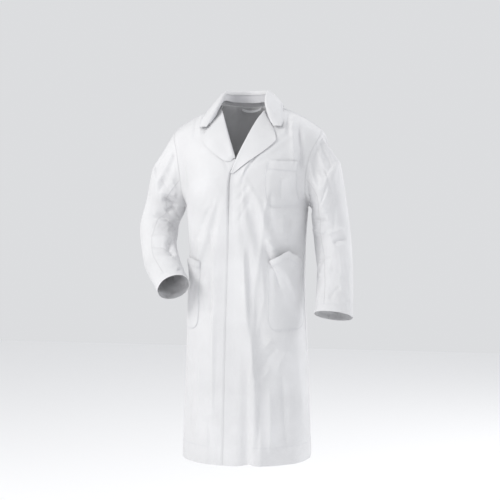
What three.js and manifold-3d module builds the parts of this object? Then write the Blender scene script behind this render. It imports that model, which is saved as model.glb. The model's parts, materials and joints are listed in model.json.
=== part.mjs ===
// A long single-breasted lab coat with notched lapels, a fly front and three patch pockets, in the shape
// that it has when worn: the left arm hangs and the right hand rests on the hip. Each cloth piece is a thin
// closed shell that follows the cloth, so the coat is hollow where the body, arms and hands go.
// Millimetres, +Z up. The wearer faces -Y and +X is the wearer's left. The origin is the middle of the neck
// opening, level with the neck ends of the shoulder seams.
import * as THREE from "three";
import { mergeVertices } from "three/addons/utils/BufferGeometryUtils.js";
import Module from "manifold-3d";

const wasm = await Module();
wasm.setup();

// Thicknesses and gaps.
const CLOTH = 1.6; // one layer of twill, made thick enough to be a solid
const LINING = 1; // facings and the fly strip
const LAYER_GAP = 1; // between layers that follow the same surface
const BUTTON_DIAMETER = 20;
const BUTTON_THICKNESS = 3;

// Heights of the body below the armholes, and the half width, front depth and back depth there.
const LEVELS = [
  { z: -390, half: 175, front: 148, back: 128, edge: -20 },
  { z: -510, half: 173, front: 145, back: 120, edge: -24 },
  { z: -660, half: 180, front: 152, back: 138, edge: -27 },
  { z: -845, half: 187, front: 160, back: 152, edge: -29 },
  { z: -1036, half: 193, front: 168, back: 166, edge: -31 },
];
const BODY_ROUNDNESS = 2.3; // the exponent of the body's superellipse sections

// Where the rigid pieces are parted, as shares of the way from shoulder to hem or from armhole to cuff.
const CHEST_PART = 0.542; // the fronts swing below this row
const VENT_TOP = 0.79;
const ELBOW = 0.6;
const SLEEVE_SEAMS = { front: 118, back: 252 }; // degrees round the arm from its outer side, by the front

const FACING_WIDTH = 86;
const FLY_WIDTH = 50;
const FLY_INSET = 4;
const ABOVE_HEM = 0.998; // the share of the front's length at which the facings and the vent underlap end
const FLY_END = 0.95; // the share of the front's length at which the fly strip ends
const BUTTON_INSET = 24;
const BUTTON_ROWS = [0.43, 0.568, 0.679, 0.77, 0.846]; // heights of the buttons, as shares of the front

const point = (x, y, z) => new THREE.Vector3(x, y, z);
const pointRow = (row) => row.map(([x, y, z]) => point(x, y, z));
const degrees = THREE.MathUtils.degToRad;
const smooth = THREE.MathUtils.smoothstep;

// ---------------------------------------------------------------- surfaces

// A smooth surface through a grid of points: u runs along each row and v from row to row.
function net(rows) {
  const along = rows.map((row) => new THREE.CatmullRomCurve3(row, false, "catmullrom"));
  return (u, v) => {
    const column = along.map((curve) => curve.getPoint(u));
    return new THREE.CatmullRomCurve3(column, false, "catmullrom").getPoint(v);
  };
}

// The unit normal of a surface, on the side that faces away when u runs to the wearer's left and v runs down.
function normalOf(surface, u, v) {
  const STEP = 1e-3;
  const [u0, v0] = [u, v].map((value) => (value < 0.5 ? value : value - STEP));
  const du = surface(u0 + STEP, v).sub(surface(u0, v));
  const dv = surface(u, v0 + STEP).sub(surface(u, v0));
  return dv.cross(du).normalize();
}

// A closed shell between two offsets of a surface. at(s, t) gives the shell's own u and v, and outer(s, t) how
// far its outer face stands off the surface.
function shell(surface, { at, outer, thickness, columns, rows, flip = false, mirror = false }) {
  const positions = [];
  const width = columns + 1;
  for (const depth of [0, thickness])
    for (let j = 0; j <= rows; j++)
      for (let i = 0; i < width; i++) {
        const [s, t] = [i / columns, j / rows];
        const [u, v] = at(s, t);
        const normal = normalOf(surface, u, v).multiplyScalar(flip ? -1 : 1);
        const p = surface(u, v).addScaledVector(normal, outer(s, t) - depth);
        positions.push(mirror ? -p.x : p.x, p.y, p.z);
      }
  const inner = width * (rows + 1);
  const index = [];
  const quad = (a, b, c, d) =>
    flip !== mirror ? index.push(a, c, b, a, d, c) : index.push(a, b, c, a, c, d);
  const vertex = (i, j) => j * width + i;
  for (let j = 0; j < rows; j++)
    for (let i = 0; i < columns; i++) {
      const [a, b, c, d] = [vertex(i, j), vertex(i, j + 1), vertex(i + 1, j + 1), vertex(i + 1, j)];
      quad(a, b, c, d);
      quad(a + inner, d + inner, c + inner, b + inner);
    }
  for (let i = 0; i < columns; i++) {
    const [a, b] = [vertex(i, 0), vertex(i + 1, 0)];
    const [c, d] = [vertex(i, rows), vertex(i + 1, rows)];
    quad(a, b, b + inner, a + inner);
    quad(d, c, c + inner, d + inner);
  }
  for (let j = 0; j < rows; j++) {
    const [a, b] = [vertex(0, j), vertex(0, j + 1)];
    const [c, d] = [vertex(columns, j), vertex(columns, j + 1)];
    quad(b, a, a + inner, b + inner);
    quad(c, d, d + inner, c + inner);
  }
  const geometry = new THREE.BufferGeometry();
  geometry.setAttribute("position", new THREE.Float32BufferAttribute(positions, 3));
  geometry.setIndex(index);
  return geometry;
}

// The part of a surface between two values of u and two of v, as a shell.
function band(surface, [u0, u1], [v0, v1], options) {
  const at = (s, t) => [u0 + (u1 - u0) * s, v0 + (v1 - v0) * t];
  return shell(surface, { at, outer: () => 0, thickness: CLOTH, ...options });
}

// ---------------------------------------------------------------- the body of the coat

// The point of a body section at an angle from the front, 90 degrees being the side seam.
function sectionPoint({ z, half, front, back }, angle) {
  const [sin, cos] = [Math.sin(degrees(angle)), Math.cos(degrees(angle))];
  const power = 2 / BODY_ROUNDNESS;
  const x = half * Math.sign(sin) * Math.abs(sin) ** power;
  const y = -(cos > 0 ? front : back) * Math.sign(cos) * Math.abs(cos) ** power;
  return point(x, Math.abs(angle - 90) < 1e-6 ? 0 : y, z);
}

// The left half of the front, each row from its inner edge to the side: the shoulder seam, four rows beside
// the roll line and the armhole, one under the armhole, and the levels. The right half is its mirror image.
const SHOULDER_SEAM = [3, -8, -20, -34, -51, -72].map((z, i) => point(74 + 29.6 * i, 4 + i, z));
const FRONT_ROWS = [
  SHOULDER_SEAM,
  pointRow([[64, -46, -22], [98, -52, -33], [129, -53, -46],
    [160, -50, -60], [190, -42, -78], [215, -29, -98]]),
  pointRow([[36, -97, -84], [73, -101, -93], [109, -98, -104],
    [143, -90, -115], [173, -76, -127], [197, -54, -143]]),
  pointRow([[10, -127, -148], [50, -133, -157], [91, -129, -167],
    [129, -116, -177], [161, -94, -187], [187, -62, -200]]),
  pointRow([[-14, -140, -201], [32, -149, -211], [78, -146, -222],
    [120, -129, -233], [156, -99, -245], [184, -50, -256]]),
  pointRow([[-17, -147, -280], [32, -154, -283], [80, -150, -286],
    [122, -131, -289], [157, -93, -293], [184, -2, -297]]),
  ...LEVELS.map((level) => {
    const reach = Math.abs(level.edge / level.half) ** (BODY_ROUNDNESS / 2);
    const edgeAngle = -THREE.MathUtils.radToDeg(Math.asin(reach));
    return [edgeAngle, 9, 25, 42, 62, 90].map((angle) => sectionPoint(level, angle));
  }),
];

// The left half of the back, each row from the middle to the side: the back neck and shoulder seam, and on down.
const BACK_ROWS = [
  [point(0, 70, 0), point(44, 54, 2), ...[0, 2, 4, 5].map((i) => SHOULDER_SEAM[i])],
  pointRow([[0, 94, -38], [47, 88, -36], [88, 62, -34],
    [132, 56, -50], [178, 49, -72], [215, 34, -104]]),
  pointRow([[0, 113, -94], [50, 109, -94], [98, 99, -99],
    [140, 86, -109], [174, 70, -125], [200, 50, -150]]),
  pointRow([[0, 126, -156], [52, 122, -156], [102, 111, -160],
    [142, 94, -169], [170, 74, -184], [190, 52, -206]]),
  pointRow([[0, 132, -216], [52, 129, -216], [102, 117, -220],
    [142, 97, -229], [169, 68, -243], [184, 34, -260]]),
  pointRow([[0, 134, -284], [52, 131, -285], [100, 119, -287],
    [140, 97, -290], [168, 62, -294], [184, -2, -297]]),
  ...LEVELS.map((level) => [180, 163, 145, 127, 109, 90].map((angle) => sectionPoint(level, angle))),
];
const ARMHOLE_ROWS = 5 / 10; // the share of the rows that run beside the armhole

const leftFront = net(FRONT_ROWS);
const backHalf = net(BACK_ROWS);

// The right front passes behind the left one's facing, its fly strip and the buttons, and comes out beside them.
const UNDERLAP = CLOTH + LINING + LINING + BUTTON_THICKNESS + 4 * LAYER_GAP;
const rightFront = (u, v) => {
  const p = leftFront(u, v);
  const under = UNDERLAP * (1 - smooth(p.x, 40, 120)) * smooth(v, 0.2, 0.38);
  return p.addScaledVector(normalOf(leftFront, u, v), -under);
};

// The u that lies a given length round the front from its edge, at the height v.
function uAfter(surface, v, length) {
  const STEPS = 200;
  let [gone, last] = [0, surface(0, v)];
  for (let i = 1; i <= STEPS; i++) {
    const next = surface(i / STEPS, v);
    gone += next.distanceTo(last);
    if (gone >= length) return i / STEPS;
    last = next;
  }
  return 1;
}

// The u and v of the front's point with a given x and z, found by steps along the surface.
function frontAt(surface, x, z) {
  let [u, v] = [0.5, 0.4];
  for (let i = 0; i < 40; i++) {
    const STEP = 1e-3;
    const p = surface(u, v);
    const du = surface(u + STEP, v).sub(p).divideScalar(STEP);
    const dv = surface(u, v + STEP).sub(p).divideScalar(STEP);
    const det = du.x * dv.z - dv.x * du.z;
    const [ex, ez] = [x - p.x, z - p.z];
    u = THREE.MathUtils.clamp(u + (ex * dv.z - dv.x * ez) / det, 0, 0.998);
    v = THREE.MathUtils.clamp(v + (du.x * ez - ex * du.z) / det, 0, 0.998);
  }
  return [u, v];
}

// ---------------------------------------------------------------- sleeves

// The outer and inner points of each sleeve at the shoulder, the upper arm, the elbow, the forearm and the
// cuff, and how far the cloth reaches in front of and behind the line between them, all as for a left arm.
const HANGING_ARM = [
  { outer: point(272, 4, -165), inner: point(195, 2, -302), across: 74 },
  { outer: point(293, 10, -272), inner: point(196, 8, -330), across: 68 },
  { outer: point(308, 14, -392), inner: point(203, 14, -402), across: 58 },
  { outer: point(320, -20, -508), inner: point(214, -26, -504), across: 51 },
  { outer: point(324, -66, -618), inner: point(215, -70, -608), across: 42 },
];
const ARM_ON_HIP = [
  { outer: point(276, 12, -165), inner: point(196, 8, -302), across: 74 },
  { outer: point(310, 28, -262), inner: point(206, 24, -326), across: 66 },
  { outer: point(334, 42, -382), inner: point(226, 10, -356), across: 57 },
  { outer: point(278, -42, -492), inner: point(208, -94, -416), across: 50 },
  { outer: point(208, -150, -566), inner: point(144, -182, -496), across: 44 },
];

// The armhole, from the top of the shoulder by the front to the armpit and back up: turn runs from 0 to 1.
function armhole(turn) {
  return turn <= 0.5
    ? leftFront(1, 2 * turn * ARMHOLE_ROWS)
    : backHalf(1, 2 * (1 - turn) * ARMHOLE_ROWS);
}

const ARMHOLE_MIDDLE = point(200, 2, -175);

// A sleeve's surface: u goes once round the arm from its outer side by the front, v from armhole to cuff.
function sleeve(arm) {
  const ringOf = ({ outer, inner, across }) => ({ middle: outer.clone().lerp(inner, 0.5), outer, across });
  const rings = arm.map(ringOf);
  const middles = [ARMHOLE_MIDDLE, ...rings.map((ring) => ring.middle)];
  const line = new THREE.CatmullRomCurve3(middles, false, "catmullrom");
  const ellipses = rings.map(({ middle, outer, across }, k) => {
    const outward = outer.clone().sub(middle);
    const forward = line.getTangent((k + 1) / rings.length).cross(outward).setLength(across);
    return { middle, outward, forward };
  });
  return (u, v) => {
    const angle = 2 * Math.PI * u;
    const along = ellipses.map(({ middle, outward, forward }) =>
      middle.clone().addScaledVector(outward, Math.cos(angle)).addScaledVector(forward, Math.sin(angle)),
    );
    const turn = ((u % 1) + 1) % 1;
    return new THREE.CatmullRomCurve3([armhole(turn), ...along], false, "catmullrom").getPoint(v);
  };
}

// ---------------------------------------------------------------- parts

const coat = new THREE.Group();
const twill = new THREE.MeshStandardMaterial({ color: 0xf1f1f4, roughness: 0.85, metalness: 0 });
const innerTwill = new THREE.MeshStandardMaterial({ color: 0xe9e9ee, roughness: 0.88, metalness: 0 });
const buttonPlastic = new THREE.MeshStandardMaterial({ color: 0xf4f3ee, roughness: 0.3, metalness: 0 });

function add(name, geometry, material = twill) {
  const mesh = new THREE.Mesh(geometry, material);
  mesh.name = name;
  coat.add(mesh);
}

const sides = [
  { side: "left", front: leftFront, mirror: false, arm: HANGING_ARM, pocketGape: 12 },
  { side: "right", front: rightFront, mirror: true, arm: ARM_ON_HIP, pocketGape: 9 },
];

// The fronts, of which the left is parted at the chest so that its lower part can swing, and the two halves of
// the back.
const SEAM = 0.008; // the share of a panel that is left clear of the seam line, so that no two pieces touch

function addPanels() {
  const across = [0, 1 - SEAM];
  add("left_front_upper", band(leftFront, across, [SEAM, CHEST_PART - SEAM], { columns: 11, rows: 14 }));
  add("left_front_lower", band(leftFront, across, [CHEST_PART, 1], { columns: 12, rows: 9 }));
  add("right_front", band(rightFront, across, [SEAM, 1], { columns: 12, rows: 24, mirror: true }));
  for (const { side, mirror } of sides) {
    const options = { columns: 9, rows: 16, flip: true, mirror };
    add(`back_${side}`, band(backHalf, [SEAM / 2, 1 - SEAM], [SEAM, 1], options));
  }
}

// A strip behind a front's edge, from one height to another. Its outer face lies depth behind the front's.
function edgeStrip(front, width, inset, [v0, v1], depth, options) {
  const at = (s, t) => {
    const v = v0 + (v1 - v0) * t;
    const start = uAfter(front, v, inset);
    return [start + (uAfter(front, v, inset + width) - start) * s, v];
  };
  return shell(front, { at, outer: () => -depth, thickness: LINING, columns: 4, ...options });
}

// Facings behind both edges, from just under the break of the lapel to the hem, parted like the fronts.
const BREAK = 0.405;
const ABOVE_PART = [BREAK, CHEST_PART - SEAM];
const BELOW_PART = [CHEST_PART, ABOVE_HEM];
const FACING_DEPTH = CLOTH + LAYER_GAP;
const FLY_DEPTH = FACING_DEPTH + LINING + LAYER_GAP;
const BUTTON_DEPTH = FLY_DEPTH + LINING + LAYER_GAP + BUTTON_THICKNESS; // of its face on the right front

function addFacings() {
  const INSET = 1;
  const facing = (front, range, rows, mirror) =>
    edgeStrip(front, FACING_WIDTH, INSET, range, FACING_DEPTH, { rows, mirror });
  add("left_facing_upper", facing(leftFront, ABOVE_PART, 6, false), innerTwill);
  add("left_facing_lower", facing(leftFront, BELOW_PART, 9, false), innerTwill);
  add("right_facing", facing(rightFront, [BREAK, BELOW_PART[1]], 15, true), innerTwill);
}

// A mesh geometry as a manifold-3d solid, and back.
function solidOf(geometry) {
  const bare = new THREE.BufferGeometry().setAttribute("position", geometry.getAttribute("position"));
  if (geometry.index) bare.setIndex(geometry.index);
  const merged = mergeVertices(bare, 1e-3);
  return new wasm.Manifold(
    new wasm.Mesh({
      numProp: 3,
      vertProperties: merged.attributes.position.array,
      triVerts: new Uint32Array(merged.index.array),
    }),
  );
}

function geometryOf(solid) {
  const mesh = solid.getMesh();
  return new THREE.BufferGeometry()
    .setAttribute("position", new THREE.BufferAttribute(mesh.vertProperties, 3))
    .setIndex(new THREE.BufferAttribute(mesh.triVerts, 1));
}

// Where a button sits: its place on the left front, and the way that it faces.
function buttonSeat(v, depth) {
  const u = uAfter(leftFront, v, BUTTON_INSET);
  const normal = normalOf(leftFront, u, v);
  return { normal, place: leftFront(u, v).addScaledVector(normal, -depth) };
}

function placed(geometry, place, normal) {
  const turn = new THREE.Quaternion().setFromUnitVectors(point(0, 0, 1), normal);
  return geometry.applyQuaternion(turn).translate(place.x, place.y, place.z);
}

// The hidden strip of the fly, with a slot for each button.
function addFly() {
  const SLOT = { width: 3.5, height: BUTTON_DIAMETER + 3, through: 12 };
  const strips = [
    { name: "upper", range: ABOVE_PART, rows: 6 },
    { name: "lower", range: [CHEST_PART, FLY_END], rows: 9 },
  ];
  for (const { name, range, rows } of strips) {
    let strip = solidOf(edgeStrip(leftFront, FLY_WIDTH, FLY_INSET, range, FLY_DEPTH, { rows }));
    for (const v of BUTTON_ROWS.filter((row) => row > range[0] && row < range[1])) {
      const { place, normal } = buttonSeat(v, FLY_DEPTH);
      const cutter = new THREE.BoxGeometry(SLOT.width, SLOT.height, SLOT.through);
      strip = strip.subtract(solidOf(placed(cutter, place, normal)));
    }
    add(`fly_strip_${name}`, geometryOf(strip), innerTwill);
  }
}

// Buttons on the right front, behind the fly strip, each with a dished face and a raised rim.
function addButtons() {
  const radius = BUTTON_DIAMETER / 2;
  const dish = BUTTON_THICKNESS - 1;
  const outline = [
    [0, 0],
    [radius - 1.5, 0],
    [radius, 1.1],
    [radius - 0.6, BUTTON_THICKNESS],
    [radius - 2.4, BUTTON_THICKNESS],
    [radius - 3.6, dish],
    [0, dish],
  ].map(([r, h]) => new THREE.Vector2(r, h));
  BUTTON_ROWS.forEach((v, i) => {
    const { place, normal } = buttonSeat(v, BUTTON_DEPTH);
    const disc = new THREE.LatheGeometry(outline, 14).rotateX(Math.PI / 2);
    add(`button_${i + 1}`, placed(disc, place, normal), buttonPlastic);
  });
}

// A patch pocket: a sheet whose sides and rounded bottom lie on the front and whose middle and mouth stand off
// it. corner(s, t) gives u and v of the sheet's own square, top first.
function pocket(front, corner, { width, height, radius, gape, mirror }) {
  const SEAT = 2;
  const EDGE = 14; // how far in from its edge the sheet reaches its full gape
  const at = (s, t) => {
    const rise = Math.max(0, 1 - ((1 - t) * height) / radius);
    const pull = (radius * (1 - Math.sqrt(Math.max(0, 1 - rise * rise)))) / width;
    return corner(pull + (1 - 2 * pull) * s, t);
  };
  const outer = (s, t) => {
    const side = Math.min(s, 1 - s) * width;
    const bottom = (1 - t) * height;
    return CLOTH + SEAT + (gape - SEAT) * smooth(side, 0, EDGE) * smooth(bottom, 0, 3 * EDGE);
  };
  return shell(front, { at, outer, thickness: CLOTH, columns: 10, rows: 10, mirror });
}

// The breast pocket, on the left, level across the chest.
function addBreastPocket() {
  const [low, high] = [{ x: 94, z: -300 }, { x: 170, z: -170 }];
  const { lerp } = THREE.MathUtils;
  const corner = (s, t) => frontAt(leftFront, lerp(low.x, high.x, s), lerp(high.z, low.z, t));
  const size = { width: 112, height: 132, radius: 16, gape: 9, mirror: false };
  add("breast_pocket", pocket(leftFront, corner, size));
}

// The lower pockets, from beside the fly to near the side seam.
function addLowerPocket({ side, front, mirror, pocketGape: gape }) {
  const [top, bottom] = [0.655, 0.795]; // shares of the front's length
  const inner = 124; // from the front's edge, along the cloth
  const size = { width: 150, height: 215, radius: 38 };
  const corner = (s, t) => {
    const v = top + (bottom - top) * t;
    return [uAfter(front, v, inner + size.width * s), v];
  };
  add(`${side}_pocket`, pocket(front, corner, { ...size, gape, mirror }));
}

// The strip that lies under the left half of the back at the vent, sewn to the right half.
function addVentUnderlap() {
  const VENT_WIDTH = 42;
  const START = 0.002; // a hair's breadth clear of the middle
  const at = (s, t) => {
    const v = VENT_TOP + (ABOVE_HEM - VENT_TOP) * t;
    return [START + (uAfter(backHalf, v, VENT_WIDTH) - START) * s, v];
  };
  const outer = () => -CLOTH - 2 * LAYER_GAP;
  const options = { at, outer, thickness: LINING, columns: 4, rows: 8, flip: true };
  add("vent_underlap", shell(backHalf, options), innerTwill);
}

// The lapel, the top of the front turned back over the chest. Each row runs from the roll line to the edge,
// as x, z and how far the cloth stands off the chest.
function addLapel({ side, front, mirror }) {
  const foot = mirror
    ? [[6, -164, 4], [9, -168, 4], [13, -172, 4], [17, -177, 4]]
    : [[-10, -206, 3], [-8, -207, 3], [-6, -208, 3], [-4, -209, 3]];
  const rows = [
    foot,
    [[8, -152, 7], [15, -158, 6], [23, -165, 4], [31, -172, 3.2]],
    [[33, -94, 9], [46, -109, 7], [61, -125, 5], [76, -142, 3.2]],
    [[58, -36, 9], [73, -57, 8], [90, -79, 5], [109, -103, 3.6]],
  ].map((row) =>
    row.map(([x, z, lift]) => {
      const [u, v] = frontAt(leftFront, x, z);
      return front(u, v).addScaledVector(normalOf(front, u, v), lift);
    }),
  );
  add(`${side}_lapel`, band(net(rows), [0, 1], [0, 1], { columns: 5, rows: 7, outer: () => CLOTH, mirror }));
}

// The collar's fall, from one notch round the back of the neck to the other, and the stand inside it.
// Each row runs from the fold to the outer edge of the left half, from the notch to the middle of the back.
function addCollar() {
  const fall = [
    [point(94, -89, -64), point(109, -89, -65), point(124, -86, -66)],
    [point(79, -77, -40), point(102, -78, -45), point(125, -73, -51)],
    [point(68, -60, -8), point(94, -61, -23), point(120, -54, -36)],
    [point(61, -14, 34), point(86, -10, 18), point(106, -4, -1)],
    [point(50, 32, 42), point(74, 44, 26), point(92, 52, -2)],
    [point(0, 60, 44), point(0, 80, 30), point(0, 92, -8)],
  ];
  const stand = [
    [point(66, -52, -7), point(68, -50, -12)],
    [point(57, -12, 29), point(71, 2, 8)],
    [point(46, 29, 38), point(56, 38, 8)],
    [point(0, 56, 40), point(0, 64, 6)],
  ];
  // A half grid and its mirror image, as one surface from notch to notch.
  const mirrored = (row) => row.map((p) => point(-p.x, p.y, p.z));
  const whole = (rows) => net([...rows, ...rows.slice(0, -1).reverse().map(mirrored)]);
  const across = { at: (s, t) => [s, t], outer: () => CLOTH, thickness: CLOTH, flip: true };
  add("collar_fall", shell(whole(fall), { ...across, columns: 5, rows: 22 }));
  add("collar_stand", shell(whole(stand), { ...across, outer: () => 0, columns: 3, rows: 18 }), innerTwill);
}

// The hanging loop inside the back of the neck: a narrow tape that stands off the collar in the middle.
function addHangerLoop() {
  const HALF = 30; // half its length
  const WIDTH = 8;
  const SAG = 6;
  const STAND_OFF = 5; // how much further forward its middle is than its ends
  const edge = (drop) =>
    [-1, -0.5, 0, 0.5, 1].map((s) => point(HALF * s, 48 + STAND_OFF * s * s, -2 - drop - SAG * (1 - s * s)));
  const tape = net([edge(0), edge(WIDTH)]);
  add("hanger_loop", band(tape, [0, 1], [0, 1], { columns: 8, rows: 1, thickness: 1.4 }), innerTwill);
}

// Both cloth pieces of a sleeve, parted at the elbow. The parting is widest on the side where the cloth folds
// up as the elbow moves: the inside of the bend of a hanging arm, the outside of an arm that will straighten.
function addSleeve({ side, mirror, arm }) {
  const surface = sleeve(arm);
  const [notchAngle, notchDepth] = arm === HANGING_ARM ? [degrees(90), 0.05] : [degrees(-50), 0.035];
  const parting = (u) => 0.005 + (notchDepth * (1 + Math.cos(2 * Math.PI * u - notchAngle))) / 2;
  const [front, back] = [SLEEVE_SEAMS.front / 360, SLEEVE_SEAMS.back / 360];
  const START = 0.012; // clear of the armhole seam
  const GAP = 0.0015; // clear of the lengthwise seams
  const pieces = [
    { name: "top", u0: back - 1 + GAP, u1: front - GAP, columns: 9 },
    { name: "under", u0: front + GAP, u1: back - GAP, columns: 6 },
  ];
  for (const { name, u0, u1, columns } of pieces) {
    const across = (s) => u0 + (u1 - u0) * s;
    const upper = (s, t) => [across(s), START + (ELBOW - parting(across(s)) - START) * t];
    const lower = (s, t) => {
      const first = ELBOW + parting(across(s));
      return [across(s), first + (1 - first) * t];
    };
    const options = { outer: () => 0, thickness: CLOTH, columns, mirror, flip: true };
    add(`${side}_${name}_sleeve_upper`, shell(surface, { ...options, at: upper, rows: 7 }));
    add(`${side}_${name}_sleeve_lower`, shell(surface, { ...options, at: lower, rows: 5 }));
  }
}

addPanels();
addFacings();
addFly();
addButtons();
addBreastPocket();
sides.forEach(addLowerPocket);
addVentUnderlap();
sides.forEach(addLapel);
addCollar();
addHangerLoop();
sides.forEach(addSleeve);

export default coat;
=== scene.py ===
"""The looks of a long white lab coat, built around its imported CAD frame.

The coat's cloth starts as the same smooth surfaces as the CAD panels, is draped over a hidden body by a cloth
simulation, and is then cut into its real pieces: fronts, back, sleeves, lapels, collar, pockets and facings.
Metres, +Z up. The front faces -Y and +X is the wearer's left.
"""

import json
import math

import bmesh
import bpy
import numpy as np
from mathutils import Vector
from mathutils.bvhtree import BVHTree
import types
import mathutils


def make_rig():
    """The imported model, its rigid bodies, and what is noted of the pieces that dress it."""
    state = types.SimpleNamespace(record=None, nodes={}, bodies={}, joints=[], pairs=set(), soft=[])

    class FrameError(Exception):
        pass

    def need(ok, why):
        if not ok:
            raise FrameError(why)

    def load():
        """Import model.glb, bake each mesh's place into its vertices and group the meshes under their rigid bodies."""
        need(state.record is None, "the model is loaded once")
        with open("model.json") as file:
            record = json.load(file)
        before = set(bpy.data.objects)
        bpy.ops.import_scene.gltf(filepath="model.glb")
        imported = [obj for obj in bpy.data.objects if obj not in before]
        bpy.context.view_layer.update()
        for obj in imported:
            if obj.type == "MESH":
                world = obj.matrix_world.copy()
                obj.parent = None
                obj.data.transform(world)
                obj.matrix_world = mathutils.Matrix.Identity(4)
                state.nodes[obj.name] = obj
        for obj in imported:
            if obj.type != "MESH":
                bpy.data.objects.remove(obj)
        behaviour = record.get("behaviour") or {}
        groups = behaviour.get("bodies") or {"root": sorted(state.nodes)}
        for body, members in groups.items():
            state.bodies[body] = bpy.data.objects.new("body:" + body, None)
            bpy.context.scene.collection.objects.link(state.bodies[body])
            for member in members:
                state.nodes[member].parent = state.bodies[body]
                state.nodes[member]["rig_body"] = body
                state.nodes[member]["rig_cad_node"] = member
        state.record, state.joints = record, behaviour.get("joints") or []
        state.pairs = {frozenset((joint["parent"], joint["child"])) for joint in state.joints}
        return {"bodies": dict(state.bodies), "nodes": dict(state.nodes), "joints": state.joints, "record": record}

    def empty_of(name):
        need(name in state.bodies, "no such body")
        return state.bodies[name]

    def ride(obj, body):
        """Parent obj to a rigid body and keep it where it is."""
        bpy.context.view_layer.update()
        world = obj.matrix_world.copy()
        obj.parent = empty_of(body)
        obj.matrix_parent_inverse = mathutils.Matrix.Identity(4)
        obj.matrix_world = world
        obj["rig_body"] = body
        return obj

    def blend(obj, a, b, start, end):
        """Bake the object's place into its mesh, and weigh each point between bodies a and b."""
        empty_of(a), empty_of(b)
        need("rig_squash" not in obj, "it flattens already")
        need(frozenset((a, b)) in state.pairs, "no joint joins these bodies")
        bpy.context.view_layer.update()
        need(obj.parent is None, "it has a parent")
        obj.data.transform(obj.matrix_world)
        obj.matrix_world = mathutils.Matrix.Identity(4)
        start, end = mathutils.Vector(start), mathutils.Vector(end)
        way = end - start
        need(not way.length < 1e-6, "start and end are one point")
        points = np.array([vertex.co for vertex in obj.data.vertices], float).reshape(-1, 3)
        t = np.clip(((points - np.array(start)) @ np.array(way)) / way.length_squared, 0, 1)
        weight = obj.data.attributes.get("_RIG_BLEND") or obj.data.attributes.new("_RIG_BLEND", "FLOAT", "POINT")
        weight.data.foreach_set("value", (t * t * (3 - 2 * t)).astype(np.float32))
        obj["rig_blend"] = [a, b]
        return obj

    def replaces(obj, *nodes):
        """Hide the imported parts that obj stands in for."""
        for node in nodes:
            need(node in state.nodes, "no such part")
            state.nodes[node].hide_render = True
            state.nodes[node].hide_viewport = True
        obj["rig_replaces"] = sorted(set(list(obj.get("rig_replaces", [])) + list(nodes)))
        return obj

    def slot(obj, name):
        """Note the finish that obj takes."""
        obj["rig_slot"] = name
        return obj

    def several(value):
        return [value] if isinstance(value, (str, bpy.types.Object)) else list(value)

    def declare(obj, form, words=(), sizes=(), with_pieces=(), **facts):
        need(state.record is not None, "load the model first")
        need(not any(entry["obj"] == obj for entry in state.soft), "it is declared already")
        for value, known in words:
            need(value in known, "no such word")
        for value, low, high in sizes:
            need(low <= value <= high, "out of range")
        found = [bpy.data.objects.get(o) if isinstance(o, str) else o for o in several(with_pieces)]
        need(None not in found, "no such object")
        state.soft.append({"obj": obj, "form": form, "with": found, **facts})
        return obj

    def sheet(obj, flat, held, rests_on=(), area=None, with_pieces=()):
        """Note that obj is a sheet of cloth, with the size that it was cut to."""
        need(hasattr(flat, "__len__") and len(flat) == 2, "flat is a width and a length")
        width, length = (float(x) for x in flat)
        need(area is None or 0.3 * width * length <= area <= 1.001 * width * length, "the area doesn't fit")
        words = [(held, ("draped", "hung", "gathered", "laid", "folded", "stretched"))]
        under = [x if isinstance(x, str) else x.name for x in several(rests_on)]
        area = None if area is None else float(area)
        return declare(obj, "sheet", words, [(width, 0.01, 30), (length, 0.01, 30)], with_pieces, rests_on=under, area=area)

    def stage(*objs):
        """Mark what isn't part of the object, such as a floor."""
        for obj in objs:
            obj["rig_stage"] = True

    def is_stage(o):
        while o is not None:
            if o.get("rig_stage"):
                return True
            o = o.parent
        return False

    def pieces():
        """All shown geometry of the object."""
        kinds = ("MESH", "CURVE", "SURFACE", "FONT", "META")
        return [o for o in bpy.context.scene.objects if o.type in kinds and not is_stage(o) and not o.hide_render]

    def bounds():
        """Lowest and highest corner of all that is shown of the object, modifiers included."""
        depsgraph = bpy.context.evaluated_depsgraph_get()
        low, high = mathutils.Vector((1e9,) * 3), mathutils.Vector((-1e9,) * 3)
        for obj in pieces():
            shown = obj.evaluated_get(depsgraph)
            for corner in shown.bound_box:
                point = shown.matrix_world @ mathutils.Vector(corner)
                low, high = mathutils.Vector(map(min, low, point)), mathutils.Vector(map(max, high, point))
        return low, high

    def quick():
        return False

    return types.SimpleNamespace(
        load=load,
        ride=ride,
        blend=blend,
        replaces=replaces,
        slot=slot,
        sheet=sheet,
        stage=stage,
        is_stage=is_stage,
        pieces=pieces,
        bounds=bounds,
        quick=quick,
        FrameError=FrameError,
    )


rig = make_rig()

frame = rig.load()
cad_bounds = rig.bounds()
MM = 0.001

# ---------------------------------------------------------------- smooth surfaces


def spline_weights(place, spans):
    """The first of four neighbouring points and their Catmull-Rom weights, place running from 0 to 1."""
    along = np.clip(place, 0, 1) * spans
    first = np.minimum(along.astype(int), spans - 1)
    f = along - first
    weights = [
        -f / 2 + f**2 - f**3 / 2,
        1 - 2.5 * f**2 + 1.5 * f**3,
        f / 2 + 2 * f**2 - 1.5 * f**3,
        (f**3 - f**2) / 2,
    ]
    return first, np.stack(weights, -1)


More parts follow.
